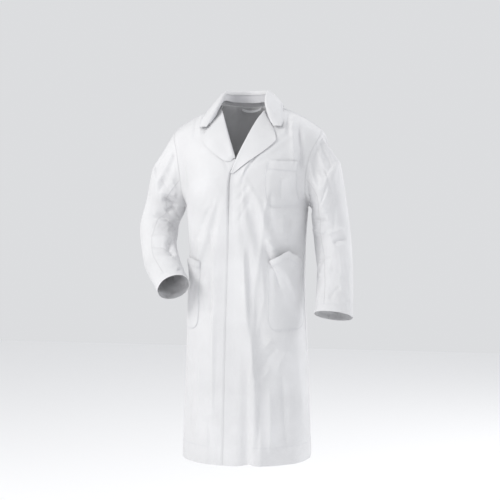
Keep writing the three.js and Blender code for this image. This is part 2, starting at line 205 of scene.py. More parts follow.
class Net:
    """A smooth surface through a grid of points: u along each row and v from row to row, each from 0 to 1.
    A ring's rows are closed. knots gives the v of each row where the rows aren't evenly spaced."""

    def __init__(self, rows, ring=False, flip=False, knots=None):
        grid = np.asarray(rows, float)
        self.ring, self.flip, self.knots = ring, flip, knots
        self.spans = (grid.shape[1] - (0 if ring else 1), grid.shape[0] - 1)
        if ring:
            grid = np.concatenate([grid[:, -1:], grid, grid[:, :2]], 1)
        else:
            before, after = 2 * grid[:, :1] - grid[:, 1:2], 2 * grid[:, -1:] - grid[:, -2:-1]
            grid = np.concatenate([before, grid, after], 1)
        self.grid = np.concatenate([2 * grid[:1] - grid[1:2], grid, 2 * grid[-1:] - grid[-2:-1]], 0)

    def __call__(self, u, v):
        u, v = np.broadcast_arrays(np.asarray(u, float), np.asarray(v, float))
        if self.knots is not None:
            v = np.interp(v, self.knots, np.linspace(0, 1, len(self.knots)))
        i, wu = spline_weights(u % 1.0 if self.ring else u, self.spans[0])
        j, wv = spline_weights(v, self.spans[1])
        out = np.zeros(u.shape + (3,))
        for a in range(4):
            for b in range(4):
                out += (wv[..., a] * wu[..., b])[..., None] * self.grid[j + a, i + b]
        return out

    def normal(self, u, v):
        """The unit normals at places on the surface, out of the coat."""
        step = 2e-3
        u, v = np.broadcast_arrays(np.asarray(u, float), np.asarray(v, float))
        u0, u1 = (u - step, u + step) if self.ring else (np.clip(u - step, 0, 1), np.clip(u + step, 0, 1))
        across = self(u1, v) - self(u0, v)
        down = self(u, np.clip(v + step, 0, 1)) - self(u, np.clip(v - step, 0, 1))
        n = np.cross(down, across) * (-1 if self.flip else 1)
        return n / np.maximum(np.linalg.norm(n, axis=-1, keepdims=True), 1e-12)


def smooth(x, low, high):
    """A soft step: 0 up to low, 1 from high on."""
    t = np.clip((np.asarray(x, float) - low) / (high - low), 0, 1)
    return t * t * (3 - 2 * t)


def mirrored(points):
    """The same points on the other side of the coat."""
    return np.asarray(points) * np.array([-1.0, 1.0, 1.0])


# ---------------------------------------------------------------- the coat's shape

ROUNDNESS = 2.3  # the exponent of the body's superellipse sections
LEVELS = [  # height, half width, front depth, back depth and how far the left edge laps past the middle
    (-390, 175, 148, 128, 20),
    (-510, 173, 145, 120, 24),
    (-660, 180, 152, 138, 27),
    (-845, 187, 160, 152, 29),
    (-1036, 193, 168, 166, 31),
]


def section_point(level, angle):
    """A point of a level's section, at an angle in degrees round from the front."""
    z, half, front, back, _ = level
    s, c = math.sin(math.radians(angle)), math.cos(math.radians(angle))
    x = half * math.copysign(abs(s) ** (2 / ROUNDNESS), s)
    y = -(front if c > 0 else back) * math.copysign(abs(c) ** (2 / ROUNDNESS), c)
    return (x, 0 if abs(angle - 90) < 1e-6 else y, z)


SHOULDER = [(74 + 29.6 * i, 4 + i, z) for i, z in enumerate([3, -8, -20, -34, -51, -72])]
FRONT_ROWS = [
    SHOULDER,
    [(64, -46, -22), (98, -52, -33), (129, -53, -46), (160, -50, -60), (190, -42, -78), (215, -29, -98)],
    [(36, -97, -84), (73, -101, -93), (109, -98, -104), (143, -90, -115), (173, -76, -127), (197, -54, -143)],
    [(10, -127, -148), (50, -133, -157), (91, -129, -167), (129, -116, -177), (161, -94, -187), (187, -62, -200)],
    [(-14, -140, -201), (32, -149, -211), (78, -146, -222), (120, -129, -233), (156, -99, -245), (184, -50, -256)],
    [(-17, -147, -280), (32, -154, -283), (80, -150, -286), (122, -131, -289), (157, -93, -293), (184, -2, -297)],
]
BACK_ROWS = [
    [(0, 70, 0), (44, 54, 2), SHOULDER[0], SHOULDER[2], SHOULDER[4], SHOULDER[5]],
    [(0, 94, -38), (47, 88, -36), (88, 62, -34), (132, 56, -50), (178, 49, -72), (215, 34, -104)],
    [(0, 113, -94), (50, 109, -94), (98, 99, -99), (140, 86, -109), (174, 70, -125), (200, 50, -150)],
    [(0, 126, -156), (52, 122, -156), (102, 111, -160), (142, 94, -169), (170, 74, -184), (190, 52, -206)],
    [(0, 132, -216), (52, 129, -216), (102, 117, -220), (142, 97, -229), (169, 68, -243), (184, 34, -260)],
    [(0, 134, -284), (52, 131, -285), (100, 119, -287), (140, 97, -290), (168, 62, -294), (184, -2, -297)],
]
for level in LEVELS:
    edge_angle = -math.degrees(math.asin((level[4] / level[1]) ** (ROUNDNESS / 2)))
    FRONT_ROWS.append([section_point(level, a) for a in (edge_angle, 9, 25, 42, 62, 90)])
    BACK_ROWS.append([section_point(level, a) for a in (180, 163, 145, 127, 109, 90)])

front_shape = Net(np.array(FRONT_ROWS, float) * MM)
back_shape = Net(np.array(BACK_ROWS, float) * MM, flip=True)

# Outer and inner point of each sleeve ring, and its reach in front of and behind the line between them.
HANGING_ARM = [
    ((272, 4, -165), (195, 2, -302), 74),
    ((293, 10, -272), (196, 8, -330), 68),
    ((308, 14, -392), (203, 14, -402), 58),
    ((320, -20, -508), (214, -26, -504), 51),
    ((324, -66, -618), (215, -70, -608), 42),
]
ARM_ON_HIP = [
    ((276, 12, -165), (196, 8, -302), 74),
    ((310, 28, -262), (206, 24, -326), 66),
    ((334, 42, -382), (226, 10, -356), 57),
    ((278, -42, -492), (208, -94, -416), 50),
    ((208, -150, -566), (144, -182, -496), 44),
]
ARMHOLE = 0.5  # v of the armpit on the fronts and the back

# How finely the cloth is divided for its draping: columns of a panel, and rows or columns of quads.
COLUMNS = 29  # of each panel
ARMHOLE_SPANS = 30  # from the shoulder seam down to the armpit
BODY_SPANS = 72  # from the armpit down to the hem
SLEEVE_SPANS = 58  # from the armhole to the cuff
RING = 2 * ARMHOLE_SPANS  # round a sleeve
ARMHOLE_MIDDLE = (200, 2, -175)


def ring_rows(arm, columns, girth=1.0):
    """The rings of an arm as rows of points, from outside round by the front."""
    ends = [(np.array(o, float), np.array(i, float), w) for o, i, w in arm]
    middles = np.array([ARMHOLE_MIDDLE] + [list((o + i) / 2) for o, i, _ in ends], float)
    angle = 2 * math.pi * np.arange(columns) / columns
    rows = []
    for k, (outer, inner, reach) in enumerate(ends, 1):
        along = middles[min(k + 1, len(ends))] - middles[k - 1]
        outward = (outer - inner) / 2
        forward = np.cross(along, outward)
        forward *= reach / np.linalg.norm(forward)
        around = np.cos(angle)[:, None] * outward + np.sin(angle)[:, None] * forward
        rows.append(middles[k] + girth * around)
    return rows


def sleeve_shape(arm):
    """A sleeve from the armhole's own edge to the cuff."""
    turn = np.arange(RING) / RING
    front = front_shape(1, np.minimum(turn, 0.5))
    back = back_shape(1, np.minimum(1 - turn, 0.5))
    armhole = np.where((turn <= 0.5)[:, None], front, back)
    return Net([armhole] + [row * MM for row in ring_rows(arm, RING)], ring=True, flip=True)


# ---------------------------------------------------------------- cloth, as grids of points

rows_v = np.concatenate(
    [np.linspace(0, ARMHOLE, ARMHOLE_SPANS + 1), np.linspace(ARMHOLE, 1, BODY_SPANS + 1)[1:]]
)
columns_u = np.linspace(0, 1, COLUMNS)


def lap_start():
    """For each row, the u at which the right front comes out from under the left one's edge."""
    fine = np.linspace(0, 1, 400)
    starts = []
    for v in rows_v:
        edge = front_shape(0, v)[0]
        x = front_shape(fine, v)[:, 0]
        starts.append(0.0 if edge >= 0 else float(np.interp(-edge, x, fine)))
    return np.array(starts)


lap = lap_start()
crossed = int(np.argmax(lap > 0))  # the first row at which the fronts overlap
left_u = np.broadcast_to(columns_u, (len(rows_v), COLUMNS))
right_u = lap[:, None] + (1 - lap[:, None]) * columns_u
row_grid = np.broadcast_to(rows_v[:, None], left_u.shape)
sleeve_v = np.linspace(0, 1, SLEEVE_SPANS + 1)
sleeve_grid = np.broadcast_to(np.arange(RING) / RING, (SLEEVE_SPANS + 1, RING))

left_sleeve_shape = sleeve_shape(HANGING_ARM)
right_sleeve_shape = sleeve_shape(ARM_ON_HIP)
grids = {
    "left_front": front_shape(left_u, row_grid),
    "right_front": mirrored(front_shape(right_u, row_grid)),
    "left_back": back_shape(left_u, row_grid),
    "right_back": mirrored(back_shape(left_u, row_grid)),
    "left_sleeve": left_sleeve_shape(sleeve_grid, sleeve_v[:, None]),
    "right_sleeve": mirrored(right_sleeve_shape(sleeve_grid, sleeve_v[:, None])),
}


def quads_of(n):
    """The quads between the neighbouring points of a grid of point numbers."""
    return np.stack([n[:-1, :-1], n[1:, :-1], n[1:, 1:], n[:-1, 1:]], -1).reshape(-1, 4)


def closed_round(n):
    """A grid of point numbers with its first column again after its last."""
    return np.concatenate([n, n[:, :1]], 1)


def welded_cloth():
    """All grids as one cloth: its points, its quads, and each grid's point numbers."""
    numbers, start = {}, 0
    for name, grid in grids.items():
        count = grid.shape[0] * grid.shape[1]
        numbers[name] = np.arange(start, start + count).reshape(grid.shape[:2])
        start += count
    same = np.arange(start)

    def join(a, b):
        for i, j in zip(np.ravel(a), np.ravel(b)):
            while same[i] != i:
                i = same[i]
            while same[j] != j:
                j = same[j]
            same[max(i, j)] = min(i, j)

    for side in ("left", "right"):
        front, back, sleeve = (numbers[f"{side}_{part}"] for part in ("front", "back", "sleeve"))
        join(front[ARMHOLE_SPANS:, -1], back[ARMHOLE_SPANS:, -1])
        join(sleeve[0, : ARMHOLE_SPANS + 1], front[: ARMHOLE_SPANS + 1, -1])
        join(sleeve[0, ARMHOLE_SPANS:], back[ARMHOLE_SPANS:0:-1, -1])
    join(numbers["left_back"][:, 0], numbers["right_back"][:, 0])
    join(numbers["left_front"][crossed:, 0], numbers["right_front"][crossed:, 0])
    root = np.arange(start)
    for i in range(start):
        j = i
        while same[j] != j:
            j = same[j]
        root[i] = j
    kept, compact = np.unique(root, return_inverse=True)
    positions = np.concatenate([g.reshape(-1, 3) for g in grids.values()])
    points = np.zeros((len(kept), 3))
    np.add.at(points, compact, positions)
    points /= np.bincount(compact)[:, None]
    quads = []
    for name, number in numbers.items():
        n = compact[number]
        if "sleeve" in name:
            n = closed_round(n)
        faces = quads_of(n)
        quads.append(faces[:, ::-1] if name in ("right_front", "left_back", "left_sleeve") else faces)
    return points, np.concatenate(quads), {name: compact[number] for name, number in numbers.items()}


def mesh_object(name, points, faces):
    """A new object in the scene, from points and faces."""
    mesh = bpy.data.meshes.new(name)
    mesh.from_pydata([tuple(p) for p in points], [], [tuple(int(i) for i in f) for f in faces])
    mesh.update()
    made = bpy.data.objects.new(name, mesh)
    bpy.context.scene.collection.objects.link(made)
    return made


# ---------------------------------------------------------------- draping

FRAMES = 36
CAP = 22 * MM  # how far the drape may move a point of the cloth
BROAD_PASSES = 90  # how many times the movement is evened out to find its broad part
BROAD_KEPT = 0.12  # the share of the broad part that stays
BODY_GAPS = [(0, 2), (0.1, 3), (0.3, 6), (0.5, 12), (0.6, 20), (0.7, 22), (0.79, 14), (0.9, 40)]
BODY_ROWS, BODY_COLUMNS = 46, 20
ARM_GIRTH = 0.86  # the arm's girth as a share of its sleeve's
ARM_ROWS, ARM_COLUMNS = 30, 24


def tube(rows):
    """Points and quads of a tube through rings of points, open at both ends."""
    rows = np.asarray(rows)
    count, columns = rows.shape[:2]
    n = np.arange(count * columns).reshape(count, columns)
    return rows.reshape(-1, 3), quads_of(closed_round(n))


def hidden_body():
    """The wearer's trunk and arms, which the cloth drapes over, inside the coat's surfaces by BODY_GAPS."""
    heights, gaps = np.array(BODY_GAPS).T
    v = np.linspace(0.0, heights[-1], BODY_ROWS)
    gap = np.interp(v, heights, gaps * MM)
    uu, vv = np.meshgrid(np.linspace(0, 1, BODY_COLUMNS), v)
    front = front_shape(uu, vv) - front_shape.normal(uu, vv) * gap[:, None, None]
    back = back_shape(uu, vv) - back_shape.normal(uu, vv) * gap[:, None, None]
    ring = np.concatenate([front, back[:, -2::-1], mirrored(back)[:, 1:], mirrored(front)[:, -2::-1]], 1)
    parts = [tube(ring)]
    for arm, side in ((HANGING_ARM, 1), (ARM_ON_HIP, -1)):
        net = Net(np.array(ring_rows(arm, ARM_COLUMNS, ARM_GIRTH)) * MM, ring=True)
        uu, vv = np.meshgrid(np.arange(ARM_COLUMNS) / ARM_COLUMNS, np.linspace(0, 1, ARM_ROWS))
        points, quads = tube(net(uu, vv) * np.array([side, 1, 1]))
        parts.append((points, quads[:, ::-1] if side > 0 else quads))
    made = []
    for i, (points, quads) in enumerate(parts):
        body = mesh_object(f"hidden_body_{i}", points, quads)
        body.modifiers.new("Collision", "COLLISION")
        body.collision.thickness_outer = 0.003
        body.collision.cloth_friction = 25
        made.append(body)
    return made


def held_and_full(count, numbers):
    """How firmly each point is held while it drapes, and how full its cloth is cut, each from 0 to 1."""
    held = np.zeros(count)
    full = np.full(count, 0.35)
    for side in ("left", "right"):
        front, back, sleeve = (numbers[f"{side}_{part}"] for part in ("front", "back", "sleeve"))
        held[front[:2]] = held[back[:2]] = 1  # the shoulder seam
        held[front[:crossed, 0]] = 1  # the edge under the lapel
        held[front[:crossed, 1]] = 0.5
        held[sleeve[-2:]] = 0.35  # the cuff
    held[numbers["left_back"][0]] = 1
    for side in ("left", "right"):
        held[numbers[f"{side}_front"][crossed:, :3]] = 0.2  # the buttoned edges
        sleeve = numbers[f"{side}_sleeve"]
        elbow = 0.35 + 0.65 * np.exp(-(((sleeve_v - 0.6) / 0.18) ** 2))
        full[sleeve] = np.maximum(full[sleeve], elbow[:, None])
    return held, full


def vertex_group(piece, name, values):
    """A vertex group with each point's value, to two places."""
    group = piece.vertex_groups.new(name=name)
    rounded = np.round(values, 2)
    for value in np.unique(rounded[rounded > 0]):
        group.add(np.nonzero(rounded == value)[0].tolist(), float(value), "REPLACE")


def drape(points, quads, numbers):
    """Lets the cloth hang on the hidden body and returns its points."""
    cloth = mesh_object("draped_cloth", points, quads)
    held, full = held_and_full(len(points), numbers)
    vertex_group(cloth, "held", held)
    vertex_group(cloth, "full", full)
    modifier = cloth.modifiers.new("Cloth", "CLOTH")
    settings = modifier.settings
    settings.quality = 7
    settings.mass = 0.2
    settings.tension_stiffness = 30
    settings.compression_stiffness = 30
    settings.shear_stiffness = 12
    settings.bending_stiffness = 1.2
    settings.tension_damping = 8
    settings.compression_damping = 8
    settings.shear_damping = 8
    settings.air_damping = 2
    settings.vertex_group_mass = "held"
    settings.pin_stiffness = 1.5
    settings.shrink_min = -0.012
    settings.shrink_max = -0.07
    settings.vertex_group_shrink = "full"
    modifier.collision_settings.use_collision = True
    modifier.collision_settings.collision_quality = 3
    modifier.collision_settings.distance_min = 0.002
    modifier.point_cache.frame_start = 1
    modifier.point_cache.frame_end = FRAMES
    scene = bpy.context.scene
    scene.frame_start, scene.frame_end = 1, FRAMES
    for number in range(1, FRAMES + 1):
        scene.frame_set(number)
    evaluated = cloth.evaluated_get(bpy.context.evaluated_depsgraph_get())
    result = np.empty(len(points) * 3)
    evaluated.data.vertices.foreach_get("co", result)
    result = result.reshape(-1, 3)
    scene.frame_set(1)
    bpy.data.objects.remove(cloth)
    return relaxed(result, quads, 2, 0.4)


def relaxed(points, quads, times, share=0.5):
    """Evens out the cloth's smallest ripples."""
    edges = np.concatenate([quads[:, [0, 1]], quads[:, [1, 2]], quads[:, [2, 3]], quads[:, [3, 0]]])
    count = np.bincount(edges.ravel(), minlength=len(points))[:, None]
    for _ in range(times):
        total = np.zeros_like(points)
        np.add.at(total, edges[:, 0], points[edges[:, 1]])
        np.add.at(total, edges[:, 1], points[edges[:, 0]])
        points = points + share * (total / count - points)
    return points


def settled(points, hung, quads, numbers):
    """The drape's folds, with the outline that the coat was cut and worn in and a placket that stays firm."""
    moved = hung - points
    far = np.linalg.norm(moved, axis=1, keepdims=True)
    moved = moved * np.minimum(1, CAP / np.maximum(far, 1e-9))
    moved = moved - (1 - BROAD_KEPT) * relaxed(moved, quads, BROAD_PASSES)
    firm = np.ones(len(points))
    for side in ("left", "right"):
        firm[numbers[f"{side}_front"]] = 0.12 + 0.88 * smooth(columns_u, 0.06, 0.3)
        for part in ("front", "back"):
            # The shoulder seam stays where it was cut.
            firm[numbers[f"{side}_{part}"]] *= smooth(rows_v, 0.01, 0.09)[:, None]
    return points + moved * firm[:, None]


points, quads, numbers = welded_cloth()
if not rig.quick():
    body_parts = hidden_body()
    hung = drape(points, quads, numbers)
    points = settled(points, hung, quads, numbers)
    for part in body_parts:
        bpy.data.objects.remove(part)
draped = {name: points[n] for name, n in numbers.items()}

# ---------------------------------------------------------------- folds

# Creases that the wearing has pressed into the cloth: how far each stands out (or in), its half width, and
# points along it, x and z, on the side that the cloth faces. All in millimetres.
FRONT_SIDE, BACK_SIDE = -1, 1
CREST = 2 * MM  # how rounded the crest of a fold is
FOLD_DEPTH = 1.25  # how many times as deep every fold is made
FOLDS = {
    "left_front": [
        (
            3.5,
            10,
            [
                (100, -200),
                (100, -260),
                (85, -330),
                (80, -385),
                (70, -465),
                (60, -535),
                (60, -645),
                (50, -785),
            ],
        ),
        (-2.5, 9, [(105, -250), (105, -305), (95, -370)]),
        (-3.0, 6, [(60, -150), (35, -200), (20, -235), (-5, -260)]),
        (2.5, 6, [(45, -160), (25, -205), (0, -230)]),
        (-2.2, 5, [(45, -235), (25, -260), (0, -285)]),
        (2.2, 6, [(60, -240), (35, -270), (10, -300)]),
        (-1.6, 6, [(50, -280), (25, -315), (5, -350)]),
        (-4.5, 7, [(85, -405), (100, -445), (115, -485), (125, -535)]),
        (3.0, 7, [(90, -390), (115, -425)]),
        (2.2, 7, [(30, -390), (30, -535), (35, -645)]),
        (-2.0, 6, [(45, -380), (45, -560), (50, -690)]),
        (1.6, 6, [(75, -390), (85, -560), (60, -710), (45, -825), (45, -1000)]),
        (3.0, 8, [(60, -710), (90, -695), (110, -670)]),
        (3.0, 10, [(145, -710), (130, -740), (120, -770)]),
        (3.2, 9, [(105, -750), (85, -785), (55, -810)]),
        (-2.5, 8, [(125, -695), (100, -725), (70, -770)]),
        (-5.0, 14, [(135, -770), (140, -880), (150, -1005)]),
        (6.0, 16, [(100, -800), (105, -900), (105, -1010)]),
        (5.0, 14, [(165, -695), (175, -855), (180, -1000)]),
        (-5.0, 12, [(75, -830), (75, -930), (70, -1015)]),
        (0.9, 4, [(-30, -895), (15, -895), (80, -885)]),
        (-7.0, 9, [(165, -55), (180, -130), (180, -200)]),
        (4.0, 8, [(140, -25), (155, -115), (160, -195)]),
        (2.5, 6, [(110, -10), (130, -90)]),
        (-2.0, 5, [(125, -20), (145, -105)]),
        (-1.8, 6, [(130, -215), (130, -280)]),
        (2.0, 8, [(145, -210), (155, -280)]),
        (-3.5, 10, [(160, -320), (155, -370), (145, -410)]),
        (3.0, 10, [(135, -320), (135, -380)]),
    ],
    "right_front": [
        (-2.0, 6, [(-65, -135), (-40, -165), (-20, -195)]),
        (-3.0, 8, [(-85, -350), (-80, -450), (-80, -565), (-80, -680)]),
        (2.5, 8, [(-65, -380), (-70, -535), (-70, -705), (-70, -980)]),
        (3.0, 10, [(-120, -385), (-120, -460)]),
        (-2.5, 5, [(-110, -20), (-100, -55), (-105, -90)]),
        (2.5, 6, [(-130, -20), (-120, -70), (-120, -100)]),
        (-2.0, 5, [(-145, -25), (-140, -70), (-140, -100)]),
        (-2.5, 7, [(-85, -610), (-75, -565), (-65, -545)]),
        (0.9, 4, [(-105, -905), (-75, -895), (-45, -895)]),
        (-2.5, 9, [(-85, -895), (-80, -955), (-80, -1005)]),
        (4.0, 14, [(-115, -700), (-115, -855), (-120, -1000)]),
        (-3.5, 12, [(-145, -700), (-145, -860), (-150, -995)]),
        (-3.0, 8, [(-170, -150), (-165, -210), (-165, -260)]),
    ],
    "right_sleeve": [
        (-9.0, 8, [(-240, -270), (-225, -285), (-205, -295)]),
        (-8.0, 7, [(-210, -300), (-225, -305), (-240, -315)]),
        (6.5, 9, [(-250, -250), (-225, -260), (-200, -265)]),
        (6.0, 9, [(-250, -335), (-230, -330), (-210, -325)]),
        (-3.0, 7, [(-250, -215), (-235, -230), (-215, -250)]),
        (2.8, 8, [(-235, -195), (-210, -220), (-200, -250)]),
        (-3.0, 7, [(-220, -130), (-195, -175), (-185, -210)]),
        (3.0, 8, [(-290, -315), (-265, -330), (-220, -345)]),
        (-9.0, 8, [(-220, -390), (-205, -420), (-185, -440)]),
        (-4.0, 6, [(-265, -415), (-235, -410), (-200, -420)]),
        (3.0, 7, [(-285, -390), (-240, -385), (-215, -395)]),
        (3.0, 7, [(-260, -440), (-220, -440), (-180, -445)]),
        (-3.0, 5, [(-165, -475), (-160, -475), (-150, -475)]),
    ],
    "left_sleeve": [
        (4.0, 8, [(220, -80), (210, -120), (195, -155)]),
        (-3.0, 7, [(220, -75), (210, -110), (200, -130)]),
        (-3.0, 10, [(230, -105), (255, -215), (275, -280), (265, -400)]),
        (-6.0, 8, [(265, -405), (280, -395), (300, -390)]),
        (4.0, 8, [(245, -380), (265, -370), (295, -360)]),
        (-4.0, 7, [(205, -330), (225, -340), (250, -340)]),
        (3.5, 8, [(200, -360), (220, -370), (245, -370)]),
        (-5.0, 8, [(190, -220), (195, -280), (200, -320)]),
        (-3.0, 8, [(215, -460), (240, -445), (265, -445)]),
        (3.0, 9, [(220, -500), (250, -480), (270, -475)]),
        (-2.5, 7, [(260, -565), (275, -540), (295, -520)]),
        (2.5, 8, [(220, -265), (235, -295), (250, -320)]),
    ],
}
BACK_FOLDS = {
    "left_back": [
        (5.0, 16, [(60, -420), (65, -640), (70, -1010)]),
        (-5.0, 14, [(100, -450), (105, -700), (110, -1010)]),
        (4.0, 15, [(140, -480), (145, -760), (150, -1010)]),
        (-4.0, 14, [(30, -520), (35, -760), (35, -1010)]),
        (2.8, 9, [(150, -170), (110, -235), (70, -275)]),
        (-2.6, 8, [(160, -215), (120, -270), (80, -305)]),
        (-2.5, 7, [(40, -330), (90, -345), (150, -330)]),
        (2.4, 8, [(30, -360), (90, -375), (150, -365)]),
    ],
    "left_sleeve": [
        (-4.0, 8, [(215, -330), (250, -350), (290, -345)]),
        (3.8, 9, [(220, -375), (255, -390), (300, -385)]),
        (-3.0, 8, [(220, -420), (255, -430), (300, -440)]),
        (3.0, 9, [(210, -240), (240, -270), (280, -280)]),
    ],
    "right_sleeve": [
        (3.5, 10, [(-215, -240), (-250, -300), (-300, -370)]),
        (-3.0, 9, [(-235, -230), (-275, -290), (-310, -350)]),
    ],
}
BACK_FOLDS["right_back"] = [
    (rise, width, [(-x, z - 12) for x, z in line]) for rise, width, line in BACK_FOLDS["left_back"]
]


def running(points, axis=0):
    """The length gone along rows of points, from 0."""
    steps = np.linalg.norm(np.diff(points, axis=axis), axis=-1)
    return np.concatenate([np.zeros_like(steps.take([0], axis)), np.cumsum(steps, axis)], axis)


def fold_height(points, normals, folds, side):
    """How far folds lift the cloth at each point, on the side of the coat that they are on."""
    height = np.zeros(points.shape[:-1])
    place = points[..., [0, 2]]
    for rise, half_width, line in folds:
        line = np.array(line, float) * MM
        nearest = np.full(height.shape, np.inf)
        ends = np.ones(height.shape)
        gone = running(line)
        length = np.diff(gone)
        for k, (a, b) in enumerate(zip(line, line[1:])):
            t = np.clip(((place - a) @ (b - a)) / length[k] ** 2, 0, 1)
            far = np.linalg.norm(place - a - t[..., None] * (b - a), axis=-1)
            along = (gone[k] + t * length[k]) / gone[-1]
            closer = far < nearest
            ends = np.where(closer, smooth(along, -0.02, 0.22) * smooth(1 - along, -0.02, 0.22), ends)
            nearest = np.where(closer, far, nearest)
        across = np.hypot(nearest, CREST) - CREST
        height += FOLD_DEPTH * rise * MM * ends * np.exp(-across / (0.75 * half_width * MM))
    return height * smooth(side * normals[..., 1], -0.05, 0.25)


class Cloth(Net):
    """A draped panel: the surface through its points, with the panel's folds pressed into it."""

    def __init__(self, name, **options):
        super().__init__(draped[name], **options)
        self.rest = Net(grids[name], **options)
        self.folds = [(FOLDS.get(name, []), FRONT_SIDE), (BACK_FOLDS.get(name, []), BACK_SIDE)]
        self.is_sleeve = name.endswith("sleeve")

    def loose(self, u, v):
        """How free the cloth is to fold: not at all at its shoulder seam and armhole, which stay shut."""
        if self.is_sleeve:
            return smooth(v, 0.0, 0.04)
        beside_armhole = smooth(u, 0.92, 0.99) * (1 - smooth(v, ARMHOLE, ARMHOLE + 0.02))
        return smooth(v, 0.0, 0.02) * (1 - beside_armhole)

    def __call__(self, u, v):
        flat = super().__call__(u, v)
        height = np.zeros(flat.shape[:-1])
        at_rest, facing = self.rest(u, v), self.rest.normal(u, v)
        for folds, side in self.folds:
            if folds:
                height += fold_height(at_rest, facing, folds, side)
        return flat + facing * (self.loose(u, v) * height)[..., None]


left_front = Cloth("left_front", knots=rows_v)
right_front = Cloth("right_front", flip=True, knots=rows_v)
left_back = Cloth("left_back", flip=True, knots=rows_v)
right_back = Cloth("right_back", knots=rows_v)
left_sleeve = Cloth("left_sleeve", ring=True, flip=True)
right_sleeve = Cloth("right_sleeve", ring=True)

# ---------------------------------------------------------------- materials

SHADE = 0.73  # the darkest and the lightest reflectance of white twill
LIGHT = 0.81


def set_inputs(node, values):
    """Sets some of a shader node's inputs."""
    for socket, value in values.items():
        node.inputs[socket].default_value = value


def add_node(tree, kind, values=None):
    """A new node of a shader."""
    node = tree.nodes.new(f"ShaderNode{kind}")
    set_inputs(node, values or {})
    return node


def shader(name, roughness, sheen):
    """A new material, with its node tree and its surface."""
    material = bpy.data.materials.new(name)
    material.use_nodes = True
    tree = material.node_tree
    surface = tree.nodes["Principled BSDF"]
    set_inputs(surface, {"Roughness": roughness, "Sheen Weight": sheen})
    set_inputs(surface, {"Sheen Roughness": 0.5, "Specular IOR Level": 0.25})
    return material, tree, surface


def link(tree, a, out, b, into):
    """Leads one output of node a into one input of node b."""
    tree.links.new(a.outputs[out], b.inputs[into])


def noise(tree, coordinates, scale, detail):
    """Noise through the object's own space."""
    node = add_node(tree, "TexNoise", {"Scale": scale, "Detail": detail})
    link(tree, coordinates, "Object", node, "Vector")
    return node


def ramp(tree, low, high, first, last):
    """A change from the first colour at low to the last one at high."""
    node = add_node(tree, "ValToRGB")
    for element, position, colour in zip(node.color_ramp.elements, (low, high), (first, last)):
        element.position, element.color = position, (*colour, 1)
    return node


def twill(name, tint, weave_depth, crumple):
    """White twill: fine diagonal ribs across the threads, soft creasing, and slightly uneven whiteness."""
    material, tree, surface = shader(name, 0.82, 0.12)
    place = add_node(tree, "TexCoord")
    cloudy = noise(tree, place, 9, 4)
    colour = ramp(tree, 0.3, 0.72, [SHADE * c for c in tint], [LIGHT * c for c in tint])
    link(tree, cloudy, "Fac", colour, "Fac")
    # Twill ribs run diagonally over a plain grid of threads, both following the cloth's own UV in metres.
    turned = add_node(tree, "Mapping", {"Rotation": (0, 0, math.radians(63))})
    link(tree, place, "UV", turned, "Vector")
    ribs = add_node(tree, "TexWave", {"Scale": 300, "Distortion": 0.6, "Detail": 1})
    link(tree, turned, "Vector", ribs, "Vector")
    threads = add_node(tree, "TexWave", {"Scale": 620, "Distortion": 0.3})
    link(tree, place, "UV", threads, "Vector")
    woven = add_node(tree, "Math")
    woven.operation = "MULTIPLY_ADD"
    set_inputs(woven, {1: 0.35})
    link(tree, threads, "Fac", woven, 0)
    link(tree, ribs, "Fac", woven, 2)
    toned = add_node(tree, "MixRGB", {"Fac": 0.16})
    toned.blend_type = "MULTIPLY"
    link(tree, colour, "Color", toned, "Color1")
    link(tree, woven, 0, toned, "Color2")
    link(tree, toned, "Color", surface, "Base Color")
    fine = add_node(tree, "Bump", {"Strength": weave_depth, "Distance": 0.3 * MM})
    link(tree, woven, 0, fine, "Height")
    creases = noise(tree, place, 26, 5)
    set_inputs(creases, {"Roughness": 0.55, "Distortion": 0.6})
    wide = add_node(tree, "Bump", {"Strength": crumple, "Distance": 6 * MM})
    link(tree, creases, "Fac", wide, "Height")
    link(tree, fine, "Normal", wide, "Normal")
    link(tree, wide, "Normal", surface, "Normal")
    rough = noise(tree, place, 60, 3)
    spread = add_node(tree, "MapRange", {"To Min": 0.72, "To Max": 0.92})
    link(tree, rough, "Fac", spread, "Value")
    link(tree, spread, "Result", surface, "Roughness")
    return material


def thread_painted_shade_material():
    """Polyester sewing thread: smoother than the cloth, with a fine uneven twist, its white painted down to grey as
    painted shade of the puckered stitch lines.
    """
    material, tree, surface = shader("thread", 0.5, 0.2)
    twist = noise(tree, add_node(tree, "TexCoord"), 900, 2)
    # The grey of these thread colours is painted shade, standing for the shadow in the puckers along each stitch line;
    # the spread between the two colours is the thread's uneven twist.
    colour = ramp(tree, 0.35, 0.7, (0.55, 0.56, 0.60), (0.71, 0.72, 0.75))
    link(tree, twist, "Fac", colour, "Fac")
    link(tree, colour, "Color", surface, "Base Color")
    bump = add_node(tree, "Bump", {"Strength": 0.3, "Distance": 0.2 * MM})
    link(tree, twist, "Fac", bump, "Height")
    link(tree, bump, "Normal", surface, "Normal")
    return material


def button_material():
    """Pearly moulded polyester resin."""
    material, tree, surface = shader("button_resin", 0.28, 0)
    set_inputs(surface, {"Specular IOR Level": 0.5, "Coat Weight": 0.3})
    pearl = noise(tree, add_node(tree, "TexCoord"), 120, 3)
    colour = ramp(tree, 0.35, 0.65, (0.74, 0.72, 0.68), (0.86, 0.85, 0.82))
    link(tree, pearl, "Fac", colour, "Fac")
    link(tree, colour, "Color", surface, "Base Color")
    return material


cloth_look = twill("white_twill", (0.985, 0.985, 1.0), 0.35, 0.22)
inner_look = twill("white_twill_inside", (0.955, 0.955, 0.985), 0.3, 0.25)
tape_look = twill("cotton_tape", (0.94, 0.94, 0.96), 0.6, 0.05)
# The thread's look carries painted shade: its grey stands for the shadow along the stitch lines.
thread_painted_shade_look = thread_painted_shade_material()
button_look = button_material()
INSIDE = {"material": inner_look, "slot": "inner_twill"}

# ---------------------------------------------------------------- how each piece moves

CUT = 0.4  # v at which a sleeve's upper and lower piece meet
HINGE_SIDE = 62, 88  # degrees round from the front over which the left front's swing fades to the side seam
SWING_HEIGHTS = -0.30, -0.52  # heights over which the left front's swing grows


